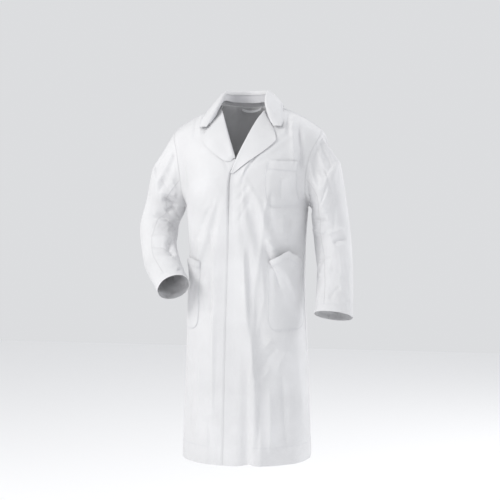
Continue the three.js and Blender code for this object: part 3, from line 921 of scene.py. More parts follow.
def front_swing(points, v):
    """How far each point of the left front follows the opening front: none at the chest and the side seam."""
    round_from_front = np.degrees(np.arctan2(points[:, 0], -points[:, 1]))
    across = 1 - smooth(round_from_front, *HINGE_SIDE)
    return across * (1 - smooth(points[:, 2], SWING_HEIGHTS[1], SWING_HEIGHTS[0]))


def shoulder_turn(points, v):
    """How far each point of an upper sleeve follows the lifted sleeve: none at the armhole."""
    return smooth(v, 0.0, 0.38)


def elbow_turn(points, v):
    """How far each point of a lower sleeve follows the forearm: all of the way below the elbow."""
    return smooth(v, 0.43, 0.78)


# The body that a piece starts on, the one that it bends towards, and a function giving each point's share
# of the bend. The functions all take the points and their v, and use one of the two.
MOTIONS = {
    "torso": ("torso", None, None),
    "left_front": ("torso", "left_front", front_swing),
    "left_upper": ("torso", "left_upper_sleeve", shoulder_turn),
    "left_lower": ("left_upper_sleeve", "left_forearm", elbow_turn),
    "right_upper": ("torso", "right_upper_sleeve", shoulder_turn),
    "right_lower": ("right_upper_sleeve", "right_forearm", elbow_turn),
}


def attach(piece, motion, v):
    """Lets a piece ride on a body, or bend between two with each point's own share."""
    first, second, share = MOTIONS[motion]
    if second is None:
        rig.ride(piece, first)
        return
    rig.blend(piece, first, second, start=(0, 0, 0), end=(0, 0, -1))
    points = np.empty(len(piece.data.vertices) * 3)
    piece.data.vertices.foreach_get("co", points)
    values = share(points.reshape(-1, 3), np.asarray(v, float)).astype(np.float32)
    piece.data.attributes["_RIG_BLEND"].data.foreach_set("value", np.ascontiguousarray(values))


def finish_piece(piece, material, slot, motion, v, replaces=(), uv=None, sharp=40):
    """Gives a piece its look, its motion, its slot and the CAD nodes that it stands for."""
    piece.data.materials.append(material)
    piece.data.polygons.foreach_set("use_smooth", [True] * len(piece.data.polygons))
    piece.data.set_sharp_from_angle(angle=math.radians(sharp))
    if uv is not None:
        layer = piece.data.uv_layers.new(name="weave")
        corner = np.empty(len(piece.data.loops), int)
        piece.data.loops.foreach_get("vertex_index", corner)
        layer.data.foreach_set("uv", uv[corner].ravel())
    attach(piece, motion, v)
    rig.slot(piece, slot)
    if replaces:
        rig.replaces(piece, *replaces)
    return piece


def shell_piece(name, outer, normals, thickness, motion="torso", v=None, ring=False, **look):
    """A sheet of cloth with a real thickness, from a grid of points on its outer face."""
    rows, columns = outer.shape[:2]
    inner = outer - normals * thickness
    count = rows * columns
    n = np.arange(count).reshape(rows, columns)
    if ring:
        n = closed_round(n)
    quads = quads_of(n)
    flat = outer.reshape(-1, 3)
    cross = np.cross(flat[quads[:, 1]] - flat[quads[:, 0]], flat[quads[:, 3]] - flat[quads[:, 0]])
    turned = (cross * normals.reshape(-1, 3)[quads[:, 0]]).sum() < 0
    if turned:
        quads = quads[:, ::-1]
    edges = [(n[0, :], False), (n[-1, :], True)]
    if not ring:
        edges += [(n[:, 0], True), (n[:, -1], False)]
    rims = []
    for edge, other_way in edges:
        a, b = edge[:-1], edge[1:]
        strip = np.stack([a, b, b + count, a + count], -1)
        if other_way != turned:
            strip = strip[:, ::-1]
        rims.append(strip)
    faces = np.concatenate([quads, quads[:, ::-1] + count] + rims)
    piece = mesh_object(name, np.concatenate([flat, inner.reshape(-1, 3)]), faces)
    # The weave follows the cloth: its UV is the length gone across each row and down each column.
    uv = np.stack([running(outer, 1).ravel(), running(outer, 0).ravel()], -1)
    v = np.zeros((rows, columns)) if v is None else np.broadcast_to(v, (rows, columns))
    look.setdefault("material", cloth_look)
    look.setdefault("slot", "twill")
    return finish_piece(
        piece, motion=motion, v=np.concatenate([v.ravel(), v.ravel()]), uv=np.concatenate([uv, uv]), **look
    )


def on_cloth(net, u, v, lift=0.0):
    """Points and normals on a cloth surface, lift above it."""
    normals = net.normal(u, v)
    lift = np.broadcast_to(np.asarray(lift, float), normals.shape[:-1])
    return net(u, v) + normals * lift[..., None], normals


def u_after(net, v, length):
    """The u that lies a given length along the cloth from u = 0, for each v."""
    fine = np.linspace(0, 1, 160)
    out = []
    for row, far in zip(np.atleast_1d(v), np.broadcast_to(length, np.atleast_1d(v).shape)):
        out.append(np.interp(far, running(net(fine, row)), fine))
    return np.array(out)


# ---------------------------------------------------------------- stitches, seams

STITCH_PITCH = 3.0 * MM
STITCH_LENGTH = 2.3 * MM
STITCH_RADIUS = 0.38 * MM
# Along a stitch, as shares of its length and radius: the place, the radius and the height over the cloth.
STITCH_STATIONS = [(-0.5, 0.45, -0.5), (-0.3, 1, 0.25), (0.3, 1, 0.25), (0.5, 0.45, -0.5)]
STITCH_SIDES = 6
SEAM_SIDES = 8


def resample(path, normals, v, pitch):
    """Points, normals and v at even distances along a path."""
    gone = running(path)
    at = np.arange(pitch / 2, gone[-1], pitch)

    def take(values):
        return np.stack([np.interp(at, gone, values[:, k]) for k in range(values.shape[1])], -1)

    return take(path), take(normals), np.interp(at, gone, v)


def stitch_row(name, path, normals, motion="torso", v=None):
    """A row of sewn stitches along a path, each a small rounded bead of thread that sinks in at both ends."""
    v = np.zeros(len(path)) if v is None else np.asarray(v, float)
    points, up, v = resample(path, normals, v, STITCH_PITCH)
    along = np.gradient(points, axis=0)
    along /= np.linalg.norm(along, axis=1, keepdims=True)
    up = up - (up * along).sum(1, keepdims=True) * along
    up /= np.linalg.norm(up, axis=1, keepdims=True)
    side = np.cross(up, along)
    bead = []
    for station, width, height in STITCH_STATIONS:
        for turn in 2 * math.pi * np.arange(STITCH_SIDES) / STITCH_SIDES:
            flank, top = width * math.cos(turn), height + 0.8 * width * math.sin(turn)
            bead.append((station * STITCH_LENGTH, flank * STITCH_RADIUS, top * STITCH_RADIUS))
    bead = np.array(bead)
    solid = points[:, None] + bead[None, :, :1] * along[:, None] + bead[None, :, 1:2] * side[:, None]
    solid = solid + bead[None, :, 2:] * up[:, None]
    last = len(bead) - STITCH_SIDES
    faces = []
    for first in range(0, last, STITCH_SIDES):
        for k in range(STITCH_SIDES):
            a, b = first + k, first + (k + 1) % STITCH_SIDES
            faces.append([a, b, b + STITCH_SIDES, a + STITCH_SIDES])
    ring = list(range(STITCH_SIDES))
    faces += [ring[::-1], [last + k for k in ring]]
    every = [[corner + len(bead) * i for corner in face] for i in range(len(points)) for face in faces]
    piece = mesh_object(name, solid.reshape(-1, 3), every)
    finish_piece(piece, thread_painted_shade_look, "twill", motion, np.repeat(v, len(bead)))


def across_path(path, normals):
    """The unit direction on the cloth, square to a path."""
    side = np.cross(normals, np.gradient(path, axis=0))
    return side / np.linalg.norm(side, axis=1, keepdims=True)


def capped_tube(name, rings):
    """A closed solid through rings of points, its faces turned outward."""
    points, quads = tube(rings)
    ring = list(range(len(rings[0])))
    last = len(points) - len(ring)
    faces = [list(q) for q in quads] + [ring[::-1], [last + k for k in ring]]
    piece = mesh_object(name, points, faces)
    shape = bmesh.new()
    shape.from_mesh(piece.data)
    bmesh.ops.recalc_face_normals(shape, faces=shape.faces)
    shape.to_mesh(piece.data)
    shape.free()
    return piece


def welt(name, path, normals, motion="torso", v=None, width=2.6 * MM, height=0.7 * MM):
    """The slight ridge of a sewn seam, with its own closed round section."""
    v = np.zeros(len(path)) if v is None else np.asarray(v, float)
    side = across_path(path, normals)
    angle = np.linspace(0, 2 * math.pi, SEAM_SIDES + 1)[:-1]
    section = np.stack([np.cos(angle) * width / 2, np.sin(angle) * height], -1)
    rings = path[:, None] + section[None, :, :1] * side[:, None] + section[None, :, 1:] * normals[:, None]
    finish_piece(capped_tube(name, rings), cloth_look, "twill", motion, np.repeat(v, SEAM_SIDES))


def seam(name, net, u, v, motion="torso", lift=0.0, topstitch=0.0, share_v=None):
    """A welt along a line of the cloth, with a row of stitches beside it. share_v is the v for its motion."""
    path, normals = on_cloth(net, u, v, lift)
    share_v = v if share_v is None else share_v
    welt(f"{name}_seam", path, normals, motion, share_v)
    if topstitch:
        beside = path + across_path(path, normals) * topstitch + normals * 0.3 * MM
        stitch_row(f"{name}_stitches", beside, normals, motion, share_v)


# ---------------------------------------------------------------- panels

CLOTH = 0.9 * MM  # the thickness of single cloth, and the step where it is doubled
HEM = 27 * MM
HEM_V = 1 - HEM / 0.98  # the v of the hem's stitches
BOTTOM_V = 0.998  # where inner pieces and seams end, just short of the hem's edge
fine_v = np.concatenate([np.linspace(0, ARMHOLE, 81), np.linspace(ARMHOLE, 1, 191)[1:]])
fine_u = np.linspace(0, 1, 81)
# The right front's columns lie closer together beside the left front's edge.
lapped_u = np.concatenate([np.linspace(0, 0.06, 9), np.linspace(0.06, 1, 75)[1:]])
VENT_TOP = 0.79
BREAK = 0.405  # the v at which the lapels' roll ends and the buttoned front starts
FACING = 86 * MM
LAP = 54 * MM  # how wide the right front lies behind the left one
LAP_DEPTH = 2.3 * MM  # how far it lies under the left one's outer face, at its edge
BUTTON_DEPTH = 5.6 * MM  # and under the buttons


def hem_lift():
    """The doubled cloth of the hem stands a little proud of the single cloth above it, for each row."""
    return CLOTH * smooth(fine_v, HEM_V - 0.001, HEM_V + 0.003)


def declare_cut(piece, pattern, held="hung", rests_on=("collar_stand",), with_pieces=()):
    """Declares a sheet with the flat size of its pattern: its widest row, longest column and area."""
    width = np.linalg.norm(np.diff(pattern, axis=1), axis=2).sum(1).max()
    length = np.linalg.norm(np.diff(pattern, axis=0), axis=2).sum(0).max()
    cells = np.cross(pattern[1:, :-1] - pattern[:-1, :-1], pattern[:-1, 1:] - pattern[:-1, :-1])
    area = float(np.linalg.norm(cells, axis=-1).sum())
    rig.sheet(
        piece,
        flat=(float(width), float(length)),
        held=held,
        rests_on=list(rests_on),
        area=area,
        with_pieces=list(with_pieces),
    )


def panel(side, part, net, raised, motion, replaces, u=fine_u):
    """One panel of the body. raised is how far its cloth stands off the draped surface, besides its hem."""
    u, v = np.meshgrid(u, fine_v)
    outer, normals = on_cloth(net, u, v, hem_lift()[:, None] + raised(u, v))
    piece = shell_piece(f"{side}_{part}_panel", outer, normals, CLOTH, motion, v, replaces=replaces)
    declare_cut(piece, grids[f"{side}_{part}"])


def beside_vent(u, v):
    """How near the vent's edge a place on the back is, from 0 to 1."""
    return (1 - smooth(u, 0.02, 0.1)) * smooth(v, VENT_TOP, VENT_TOP + 0.02)


def under_left_edge(u, v):
    """The right front dips where it goes in under the left one."""
    return -LAP_DEPTH * (1 - smooth(u, 0, 0.035)) * smooth(v, 0.36, 0.41)


LEFT_NODES = ["left_front_upper", "left_front_lower"]
panel("left", "front", left_front, lambda u, v: 0, "left_front", LEFT_NODES)
panel("right", "front", right_front, under_left_edge, "torso", ["right_front"], lapped_u)
panel("left", "back", left_back, lambda u, v: 0.8 * MM * beside_vent(u, v), "torso", ["back_left"])
panel("right", "back", right_back, lambda u, v: -1.4 * MM * beside_vent(u, v), "torso", ["back_right"])


def right_underlap():
    """The part of the right front that lies behind the left one."""
    v = np.concatenate([np.linspace(0.36, ARMHOLE, 16), np.linspace(ARMHOLE, 1, 73)[1:]])
    far = u_after(left_front, v, LAP) * smooth(v, 0.34, 0.40)
    inward = np.linspace(LAP, 0, 10)
    u = far[:, None] * np.linspace(1, 0, 10)
    vv = np.broadcast_to(v[:, None], u.shape)
    depth = LAP_DEPTH + (BUTTON_DEPTH - LAP_DEPTH) * smooth(inward, 0, 14 * MM)
    outer, normals = on_cloth(left_front, u, vv, -depth)
    piece = shell_piece("right_front_underlap", outer, normals, CLOTH, "torso", vv)
    declare_cut(piece, outer, "hung", ["right_front_panel"])


right_underlap()


def facing(side, name, top, bottom, width, lift, motion, replaces, start=1.0 * MM, thickness=0.8 * MM):
    """Cloth inside a front's edge, from start to width behind the edge."""
    net = {"left": left_front, "right": right_front}[side]
    v = np.linspace(top, bottom, 80)
    near, far = u_after(net, v, start), u_after(net, v, width)
    u = near[:, None] + (far - near)[:, None] * np.linspace(0, 1, 9)
    vv = np.broadcast_to(v[:, None], u.shape)
    outer, normals = on_cloth(net, u, vv, lift)
    piece = shell_piece(name, outer, normals, thickness, motion, vv, replaces=replaces, **INSIDE)
    declare_cut(piece, outer, "laid", [f"{side}_front_panel"])


LEFT_FACINGS = ["left_facing_upper", "left_facing_lower"]
FLY_STRIPS = ["fly_strip_upper", "fly_strip_lower"]
RIGHT_LIFT = -LAP_DEPTH - 1.4 * MM
FLY = {"start": 4 * MM, "thickness": 0.6 * MM}
facing("left", "left_facing_cloth", BREAK - 0.03, BOTTOM_V, FACING, -1.15 * MM, "left_front", LEFT_FACINGS)
facing("right", "right_facing_cloth", BREAK, BOTTOM_V, 60 * MM, RIGHT_LIFT, "torso", ["right_facing"])
facing("left", "fly_strip_cloth", BREAK, 0.95, 50 * MM, -2.3 * MM, "left_front", FLY_STRIPS, **FLY)

# ---------------------------------------------------------------- sleeves


SLEEVE_PARTS = [  # each piece's name, the v that it runs between, its rows of points and its lift
    ("upper", 0.0, CUT + 0.012, 96, 0.0),
    ("lower", CUT, 1.0, 150, -0.2 * MM),
]
SLEEVE_SEAMS = {"front": 118 / 360, "back": 252 / 360}  # the u of each seam
CUFF_V = 0.958  # the v of the cuff's stitches
ARMHOLE_V = 0.004
ROUND = 121  # points of a line all the way round a sleeve


def sleeve(side, net, pattern):
    """A sleeve's two pieces with their seams, the cuff's stitches and the seam round the armhole."""
    columns = 3 * RING
    for part, top, bottom, rows, lift in SLEEVE_PARTS:
        name = f"{side}_sleeve_{part}"
        u, v = np.meshgrid(np.arange(columns) / columns, np.linspace(top, bottom, rows))
        cuff = CLOTH * smooth(v, CUFF_V - 0.003, CUFF_V + 0.002)
        outer, normals = on_cloth(net, u, v, cuff + lift)
        nodes = [f"{side}_{layer}_sleeve_{part}" for layer in ("top", "under")]
        piece = shell_piece(name, outer, normals, CLOTH, f"{side}_{part}", v, ring=True, replaces=nodes)
        declare_cut(piece, pattern(np.append(u, u[:, :1] + 1, 1), np.append(v, v[:, :1], 1)))
        seam_v = np.linspace(top, min(bottom, 0.997), rows)
        for layer, turn in SLEEVE_SEAMS.items():
            seam(f"{name}_{layer}", net, turn, seam_v, f"{side}_{part}", lift)
    turn = np.linspace(0, 1, ROUND)
    path, normals = on_cloth(net, turn, CUFF_V, 0.3 * MM)
    stitch_row(f"{side}_cuff_stitches", path, normals, f"{side}_lower", np.full(ROUND, CUFF_V))
    path, normals = on_cloth(net, turn, ARMHOLE_V, 0.2 * MM)
    size = {"width": 3.2 * MM, "height": 0.9 * MM}
    welt(f"{side}_armhole_seam", path, normals, f"{side}_upper", np.full(ROUND, ARMHOLE_V), **size)


sleeve("left", left_sleeve, left_sleeve_shape)
sleeve("right", right_sleeve, right_sleeve_shape)

# ---------------------------------------------------------------- seams of the body


def body_seams():
    """The side and shoulder seams, and the centre back seam down to the vent."""
    v_side = np.linspace(ARMHOLE, BOTTOM_V, 120)
    for side, front, back in (("left", left_front, left_back), ("right", right_front, right_back)):
        seam(f"{side}_side", back, 1, v_side)
        seam(f"{side}_shoulder", front, np.linspace(0, 1, 40), 0.002, topstitch=6 * MM, share_v=np.zeros(40))
    seam("centre_back", left_back, 0, np.linspace(0.004, VENT_TOP, 120), topstitch=5 * MM)


body_seams()


def hem_stitches():
    """One row of stitches round the hem, from facing to facing."""
    for name, net, motion, first in (
        ("left_front", left_front, "left_front", FACING),
        ("right_front", right_front, "torso", FACING - 30 * MM),
        ("left_back", left_back, "torso", 0),
        ("right_back", right_back, "torso", 0),
    ):
        u = np.linspace(float(u_after(net, HEM_V, first)[0]), 1, 60)
        path, normals = on_cloth(net, u, HEM_V, 0.35 * MM)
        stitch_row(f"{name}_hem_stitches", path, normals, motion, np.full(60, HEM_V))


hem_stitches()

# ---------------------------------------------------------------- pockets


POCKET_HEM = 26 * MM
PEAK_PLACE = 0.42  # where along its mouth a gaping pocket is pulled up most


def place_on_front(net, x, z):
    """The u and v of the front's point with a given x and z."""
    u, v = 0.5, 0.4
    step = 1e-3
    for _ in range(40):
        p = net(u, v)
        du = (net(u + step, v) - p) / step
        dv = (net(u, v + step) - p) / step
        det = du[0] * dv[2] - dv[0] * du[2]
        ex, ez = x - p[0], z - p[2]
        u = float(np.clip(u + (ex * dv[2] - dv[0] * ez) / det, 0, 0.998))
        v = float(np.clip(v + (du[0] * ez - ex * du[2]) / det, 0, 0.998))
    return u, v


def pocket(name, net, corner_u, corner_v, width, height, radius, gape, motion, node, mouth=0.0):
    """A patch pocket: sewn flat at its sides and its rounded bottom, standing off the cloth in the middle."""
    s, t = np.meshgrid(np.linspace(0, 1, 41), np.linspace(0, 1, 49))
    rise = np.maximum(0, 1 - ((1 - t) * height) / radius)
    pull = radius * (1 - np.sqrt(np.maximum(0, 1 - rise**2))) / width
    across = pull + (1 - 2 * pull) * s
    u, v = corner_u(across, t), corner_v(across, t)
    side = np.minimum(s, 1 - s) * width
    bottom = (1 - t) * height
    edge = smooth(side, 0, 26 * MM) * smooth(bottom, 0, 60 * MM)
    bulge = gape * edge * (0.35 + 0.65 * smooth(1 - t, 0, 1))
    # A gaping mouth stands off most at its peak, and its slack ends in a crease across to the far corner.
    peak = np.exp(-(((s - 0.46) / 0.26) ** 2)) * np.exp(-((t / 0.2) ** 2))
    bulge += mouth * peak * smooth(side, 0, 30 * MM)
    bulge += 0.6 * mouth * smooth(s - t, -0.02, 0.1) * smooth(1 - s, 0, 0.5) * (1 - smooth(t, 0.45, 0.75))
    hem_band = 0.7 * MM * (1 - smooth(t * height, POCKET_HEM, POCKET_HEM + 2 * MM))
    seat = 1.0 * MM + 0.9 * MM * smooth(side, 0, 3 * MM)
    outer, normals = on_cloth(net, u, v, seat + bulge + hem_band)
    vv = np.clip(v, 0, 1)
    piece = shell_piece(name, outer, normals, 1.0 * MM, motion, vv, replaces=[node])
    rests_on = ["right_front_panel" if node == "right_pocket" else "left_front_panel"]
    rounded_off = (2 - math.pi / 2) * radius**2
    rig.sheet(piece, flat=(width, height), held="laid", rests_on=rests_on, area=width * height - rounded_off)
    # The stitches run down one side, round the bottom and up the other, and once across the mouth's hem.
    inset_s, inset_t = 2.6 * MM / width, 2.6 * MM / height
    down = np.linspace(0.004, 1 - inset_t, 70)
    along = np.linspace(inset_s, 1 - inset_s, 50)
    edge_s = np.concatenate([np.full(70, inset_s), along[1:], np.full(69, 1 - inset_s)])
    edge_t = np.concatenate([down, np.full(49, 1 - inset_t), down[::-1][1:]])
    rows = {
        "edge": (edge_s, edge_t),
        "mouth": (np.linspace(0.02, 0.98, 50), np.full(50, POCKET_HEM / height)),
    }
    for label, (ss, tt) in rows.items():
        away = field_normal(normals, ss, tt)
        stitch_v = np.interp(tt, [0, 1], [vv[0, 0], vv[-1, 0]])
        path = Net(outer)(ss, tt) + away * 0.45 * MM
        stitch_row(f"{name}_{label}_stitches", path, away, motion, stitch_v)


def field_normal(normals, s, t):
    """The unit normal between the normals of a grid."""
    n = Net(normals)(s, t)
    return n / np.linalg.norm(n, axis=-1, keepdims=True)


def breast_pocket():
    """The breast pocket, whose corners have fixed places on the left front before it is draped."""
    sides, mouth, bottom = (94 * MM, 170 * MM), -170 * MM, -300 * MM
    corners = np.array([[place_on_front(front_shape, x, z) for x in sides] for z in (mouth, bottom)])

    def between(k):
        """The u (k = 0) or the v (k = 1) of places between the corners."""
        a, b, c, d = corners[..., k].ravel()
        return lambda s, t: a * (1 - s) * (1 - t) + b * s * (1 - t) + c * (1 - s) * t + d * s * t

    size = {"width": 112 * MM, "height": 132 * MM, "radius": 18 * MM, "gape": 2.5 * MM}
    placed = {"motion": "torso", "node": "breast_pocket"}
    pocket("breast_pocket_patch", left_front, between(0), between(1), **size, **placed)


breast_pocket()


def lower_pocket(side, net, motion, gape, mouth, rise):
    """A patch pocket below the waist, whose mouth is pulled up by rise, a difference in v."""
    top, bottom = 0.655, 0.795
    inner, width = 124 * MM, 150 * MM
    t_line = np.linspace(0, 1, 12)
    v_line = top + (bottom - top) * t_line
    start = inner if side == "left" else inner - 26 * MM
    near = u_after(net, v_line, start)
    far = u_after(net, v_line, start + width)

    def u_of(s, t):
        return np.interp(t, t_line, near) * (1 - s) + np.interp(t, t_line, far) * s

    def v_of(s, t):
        before = smooth(s / PEAK_PLACE, -0.2, 1.15)
        after = 1 - 1.25 * (s - PEAK_PLACE) / (1 - PEAK_PLACE)
        peak = np.where(s < PEAK_PLACE, before, after) - smooth(0.0, -0.2, 1.15)
        mouth_v = top - rise * peak
        return mouth_v + (bottom - mouth_v) * t

    size = {"width": width, "height": 215 * MM, "radius": 34 * MM, "gape": gape}
    placed = {"motion": motion, "node": f"{side}_pocket", "mouth": mouth}
    pocket(f"{side}_pocket_patch", net, u_of, v_of, **size, **placed)


lower_pocket("left", left_front, "left_front", 5 * MM, 12 * MM, 0.028)
lower_pocket("right", right_front, "torso", 3.5 * MM, 2 * MM, 0.006)

# ---------------------------------------------------------------- lapels and collar


def lapel(side, net, mirror):
    """The top of the front turned back: from the front's own edge round the roll and out over the chest.
    Each row is x and z of its points, in millimetres, from the roll to the lapel's edge."""
    rows = [
        [(-13, -200), (-11, -201), (-9, -202), (-8, -203)],
        [(9, -150), (18, -157), (28, -166), (37, -173)],
        [(33, -96), (48, -110), (63, -126), (77, -143)],
        [(47, -62), (65, -80), (84, -97), (103, -116)],
        [(52, -46), (70, -62), (89, -80), (106, -102)],
        [(60, -22), (72, -38), (84, -54), (95, -70)],
    ]
    if mirror:
        rows[0] = [(8, -160), (11, -163), (14, -166), (17, -169)]
        rows[1] = [(14, -146), (21, -153), (29, -160), (37, -167)]
    lifts = np.array([6.5, 5.0, 3.4, 2.6]) * MM
    grid = []
    for number, row in enumerate(rows):
        flat = {0: 0.3, 4: 0.8, 5: 0.4}.get(number, 1.0)  # it lies flatter at its foot and under the collar
        line = []
        for (x, z), up in zip(row, lifts * flat):
            u, v = place_on_front(front_shape, x * MM, z * MM)
            if mirror:
                covered = float(np.interp(v, rows_v, lap))
                u = max(0.0, (u - covered) / (1 - covered))
            line.append(on_cloth(net, u, v, up)[0])
        v_edge = place_on_front(front_shape, row[0][0] * MM, row[0][1] * MM)[1]
        edge, normal = on_cloth(net, 0.0, v_edge, 0.2 * MM)
        toward = line[0] - edge
        inward = np.array([1.0 if mirror else -1.0, 0, 0])
        roll = edge + flat * (normal * 4.2 * MM + inward * 2.6 * MM)
        grid.append([edge + normal * 0.3 * MM, roll, line[0] + 0.15 * toward, *line[1:]])
    shape = Net(np.array(grid), flip=mirror)
    s, t = np.meshgrid(np.linspace(0, 1, 34), np.linspace(0, 1, 60))
    outer, normals = on_cloth(shape, s, t)
    piece = shell_piece(f"{side}_lapel_facing", outer, normals, 1.5 * MM, "torso", replaces=[f"{side}_lapel"])
    declare_cut(piece, outer, "folded", [f"{side}_front_panel"])
    t_line = np.linspace(0.04, 0.995, 90)
    path, up = on_cloth(shape, 0.955, t_line, 0.3 * MM)
    stitch_row(f"{side}_lapel_stitches", path, up)
    path, up = on_cloth(shape, np.linspace(0.45, 0.955, 30), 0.985, 0.3 * MM)
    stitch_row(f"{side}_gorge_stitches", path, up)


lapel("left", left_front, False)
lapel("right", right_front, True)


def hanger_loop():
    """A short tape that sags between its two ends, inside the collar's stand at the middle of the back."""
    half_span, sag, tape_width = 30 * MM, 8 * MM, 7 * MM
    s = np.linspace(-1, 1, 30)
    middle = np.stack([half_span * s, np.full(30, 57.5 * MM), -2 * MM - sag * (1 - s**2)], -1)
    rows = np.stack([middle, middle - np.array([0, 0, tape_width])], 0)
    normals = np.broadcast_to(np.array([0.0, -1.0, 0.0]), rows.shape)
    look = {"material": tape_look, "slot": "inner_twill"}
    return shell_piece("hanger_loop_tape", rows, normals, 1.1 * MM, "torso", replaces=["hanger_loop"], **look)


def body_surface():
    """The upper part of the four panels as one surface to keep clear of."""
    points, faces = [], []
    columns, rows = 60, 90
    for net in (left_front, right_front, left_back, right_back):
        u, v = np.meshgrid(np.linspace(0, 1, columns), np.linspace(0, 0.35, rows))
        grid, normals = on_cloth(net, u, v)
        turned = np.cross(grid[40, 31] - grid[40, 30], grid[41, 30] - grid[40, 30]) @ normals[40, 30] < 0
        first = len(points)
        points += grid.reshape(-1, 3).tolist()
        n = first + np.arange(rows * columns).reshape(rows, columns)
        quads = np.stack([n[:-1, :-1], n[:-1, 1:], n[1:, 1:], n[1:, :-1]], -1).reshape(-1, 4)
        faces += (quads[:, ::-1] if turned else quads).tolist()
    return BVHTree.FromPolygons(points, faces)


def lifted_clear(outer, normals, share, gap):
    """The points, each moved out along its normal until it lies at least gap above the body's cloth."""
    surface = body_surface()
    need = np.zeros(outer.shape[:2])
    for place in np.ndindex(need.shape):
        near, up, _, _ = surface.find_nearest(Vector(outer[place]), 20 * MM)
        if near is None:
            continue
        above = (Vector(outer[place]) - near).dot(up)
        slope = max(0.5, float(np.dot(normals[place], up)))
        need[place] = max(0.0, gap - above) / slope
    need *= share
    for _ in range(40):  # the lift tapers off around the places that need it
        wide = np.pad(need, 1, mode="edge")
        around = (wide[:-2, 1:-1] + wide[2:, 1:-1] + wide[1:-1, :-2] + wide[1:-1, 2:]) / 4
        need = np.maximum(need, around)
    return outer + need[..., None] * normals


def collar():
    """The collar's stand, its fold and its fall, from one notch round the neck to the other."""
    # Rows of the left half, from the notch to the middle of the back: stand, fold, fall and outer edge.
    half = [
        [(94, -90, -66), (99, -92, -66), (105, -92, -66), (113, -91, -66), (121, -87, -67)],
        [(77, -70, -36), (83, -80, -37), (94, -82, -40), (109, -80, -46), (124, -74, -53)],
        [(66, -50, -6), (66, -58, 3), (76, -62, 0), (97, -63, -18), (120, -55, -36)],
        [(62, -14, 14), (60, -15, 34), (67, -14, 39), (86, -10, 20), (108, -4, -3)],
        [(50, 34, 14), (48, 34, 38), (54, 39, 46), (74, 48, 28), (93, 56, -2)],
        [(0, 62, 12), (0, 60, 40), (0, 66, 48), (0, 82, 30), (0, 95, -10)],
    ]
    rows = [[np.array(p, float) * MM for p in row] for row in half]
    rows += [[mirrored(p) for p in row] for row in rows[-2::-1]]
    shape = Net(rows, flip=True)
    first = 0.2  # where the fall starts, as a share of the way from the stand to the outer edge
    s, t = np.meshgrid(np.linspace(first, 1, 40), np.linspace(0, 1, 150))
    outer, normals = on_cloth(shape, s, t)
    outer = lifted_clear(outer, normals, smooth(s, 0.45, 0.65), 3.2 * MM)
    piece = shell_piece("collar_fall_cloth", outer, normals, 1.6 * MM, "torso", replaces=["collar_fall"])
    declare_cut(piece, outer, "folded", ["left_back_panel", "right_back_panel"])
    fall = Net(outer, flip=True)
    s, t = np.meshgrid(np.linspace(0.0, 0.42, 16), np.linspace(0.03, 0.97, 110))
    outer, normals = on_cloth(shape, s, t, -1.9 * MM)
    piece = shell_piece("collar_stand_cloth", outer, normals, 1.0 * MM, replaces=["collar_stand"], **INSIDE)
    declare_cut(piece, outer, "folded", ["left_back_panel", "right_back_panel"], [hanger_loop()])
    t_line = np.linspace(0.004, 0.996, 200)
    path, up = on_cloth(fall, (0.955 - first) / (1 - first), t_line, 0.3 * MM)
    stitch_row("collar_edge_stitches", path, up)


collar()

# ---------------------------------------------------------------- buttons and vent

BUTTON_PLACES = [0.43, 0.568, 0.679, 0.77, 0.846]  # the v of each button
BUTTON_RADIUS = 9.5 * MM
BUTTON_THICKNESS = 2.2 * MM
BUTTON_SIDES = 40
# A button's section from its dished face over the rim to its back, as shares of its radius and its thickness.
BUTTON_SECTION = [(0.55, 0.62), (0.66, 0.74), (0.76, 1.0), (0.9, 1.0), (1.0, 0.6), (0.97, 0.2), (0.85, 0.0)]


def button(index, v):
    """A shirt-style button with a raised rim, on the right front behind the left one's edge."""
    u = float(u_after(left_front, v, 24 * MM)[0])
    place, normal = on_cloth(left_front, u, v, -BUTTON_DEPTH + 0.1 * MM)
    turn = np.array(Vector((0, 0, 1)).rotation_difference(Vector(normal)).to_matrix())
    angle = 2 * math.pi * np.arange(BUTTON_SIDES) / BUTTON_SIDES
    circle = BUTTON_RADIUS * np.stack([np.cos(angle), np.sin(angle), 0 * angle], -1)
    rings = np.array([r * circle + [0, 0, h * BUTTON_THICKNESS] for r, h in BUTTON_SECTION])
    piece = capped_tube(f"shirt_button_{index}", place + rings @ turn.T)
    still = np.zeros(rings.shape[0] * rings.shape[1])
    finish_piece(piece, button_look, "button", "torso", still, replaces=[f"button_{index}"], sharp=30)


for index, v in enumerate(BUTTON_PLACES, 1):
    button(index, v)


def vent_underlap():
    """The flap that closes the vent from inside."""
    v = np.linspace(VENT_TOP, BOTTOM_V, 30)
    u = u_after(left_back, v, 42 * MM)[:, None] * np.linspace(0.0, 1, 7)
    vv = np.broadcast_to(v[:, None], u.shape)
    outer, normals = on_cloth(left_back, u, vv, -1.6 * MM)
    piece = shell_piece("vent_underlap_cloth", outer, normals, 0.8 * MM, replaces=["vent_underlap"], **INSIDE)
    declare_cut(piece, outer, "laid", ["left_back_panel"])
    path, up = on_cloth(left_back, u_after(left_back, v, 30 * MM), v, 0.3 * MM)
    stitch_row("vent_stitches", path, up)


vent_underlap()

# ---------------------------------------------------------------- floor, light, camera


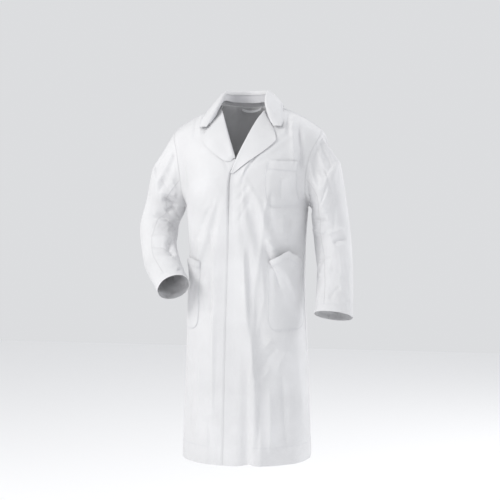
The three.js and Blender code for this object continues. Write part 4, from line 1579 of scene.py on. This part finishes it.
def stage_and_light():
    """A pale floor below the coat, which hangs free of it, and soft studio lamps."""
    scene = bpy.context.scene
    low = -1.42
    floor = mesh_object("floor", [(-6, -6, low), (6, -6, low), (6, 6, low), (-6, 6, low)], [(0, 1, 2, 3)])
    material, tree, surface = shader("pale_floor", 0.9, 0)
    surface.inputs["Base Color"].default_value = (0.97, 0.97, 0.975, 1)
    floor.data.materials.append(material)
    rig.stage(floor)
    world = bpy.data.worlds.new("studio")
    scene.world = world
    world.use_nodes = True
    background = world.node_tree.nodes["Background"]
    background.inputs["Color"].default_value = (0.97, 0.98, 1.0, 1)
    background.inputs["Strength"].default_value = 0.74
    scene.view_settings.view_transform = "Standard"
    aim = np.array([0, 0, -0.5])
    for name, place, energy, size, colour in (
        ("key", (-2.2, -2.2, 1.4), 58, 1.2, (1.0, 0.99, 0.97)),
        ("fill", (2.6, -2.4, 0.4), 10, 1.8, (0.95, 0.97, 1.0)),
        ("back", (2.7, 1.9, 1.5), 52, 1.1, (1.0, 1.0, 1.0)),
    ):
        lamp = bpy.data.objects.new(name, bpy.data.lights.new(name, "AREA"))
        lamp.data.energy, lamp.data.size, lamp.data.color = energy, size, colour
        lamp.location = place
        turn_to(lamp, aim - np.array(place))
        scene.collection.objects.link(lamp)


def turn_to(thing, direction):
    """Points a lamp or a camera along a direction."""
    thing.rotation_euler = Vector(direction).to_track_quat("-Z", "Y").to_euler()


def camera():
    """Far off and slightly above the coat's middle, turned towards the wearer's left."""
    azimuth, elevation, distance = math.radians(13), math.radians(2), 3.6
    seen_width = 1.48  # metres across the picture at the coat
    level = np.array([math.sin(azimuth), -math.cos(azimuth), 0])
    back = level * math.cos(elevation) + np.array([0, 0, math.sin(elevation)])
    right = np.array([math.cos(azimuth), math.sin(azimuth), 0])
    up = np.cross(back, right)
    target = np.array([0, 0, -0.45]) + right * 0.009 + up * 0.024
    scene = bpy.context.scene
    made = bpy.data.objects.new("camera", bpy.data.cameras.new("camera"))
    made.location = target + back * distance
    turn_to(made, -back)
    made.data.sensor_width = 36
    made.data.lens = 36 * distance / seen_width
    scene.collection.objects.link(made)
    scene.camera = made


stage_and_light()
camera()
json.dump({"cad": [list(map(float, b)) for b in cad_bounds], "visual": [list(map(float, b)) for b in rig.bounds()]}, open("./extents.json", "w"))
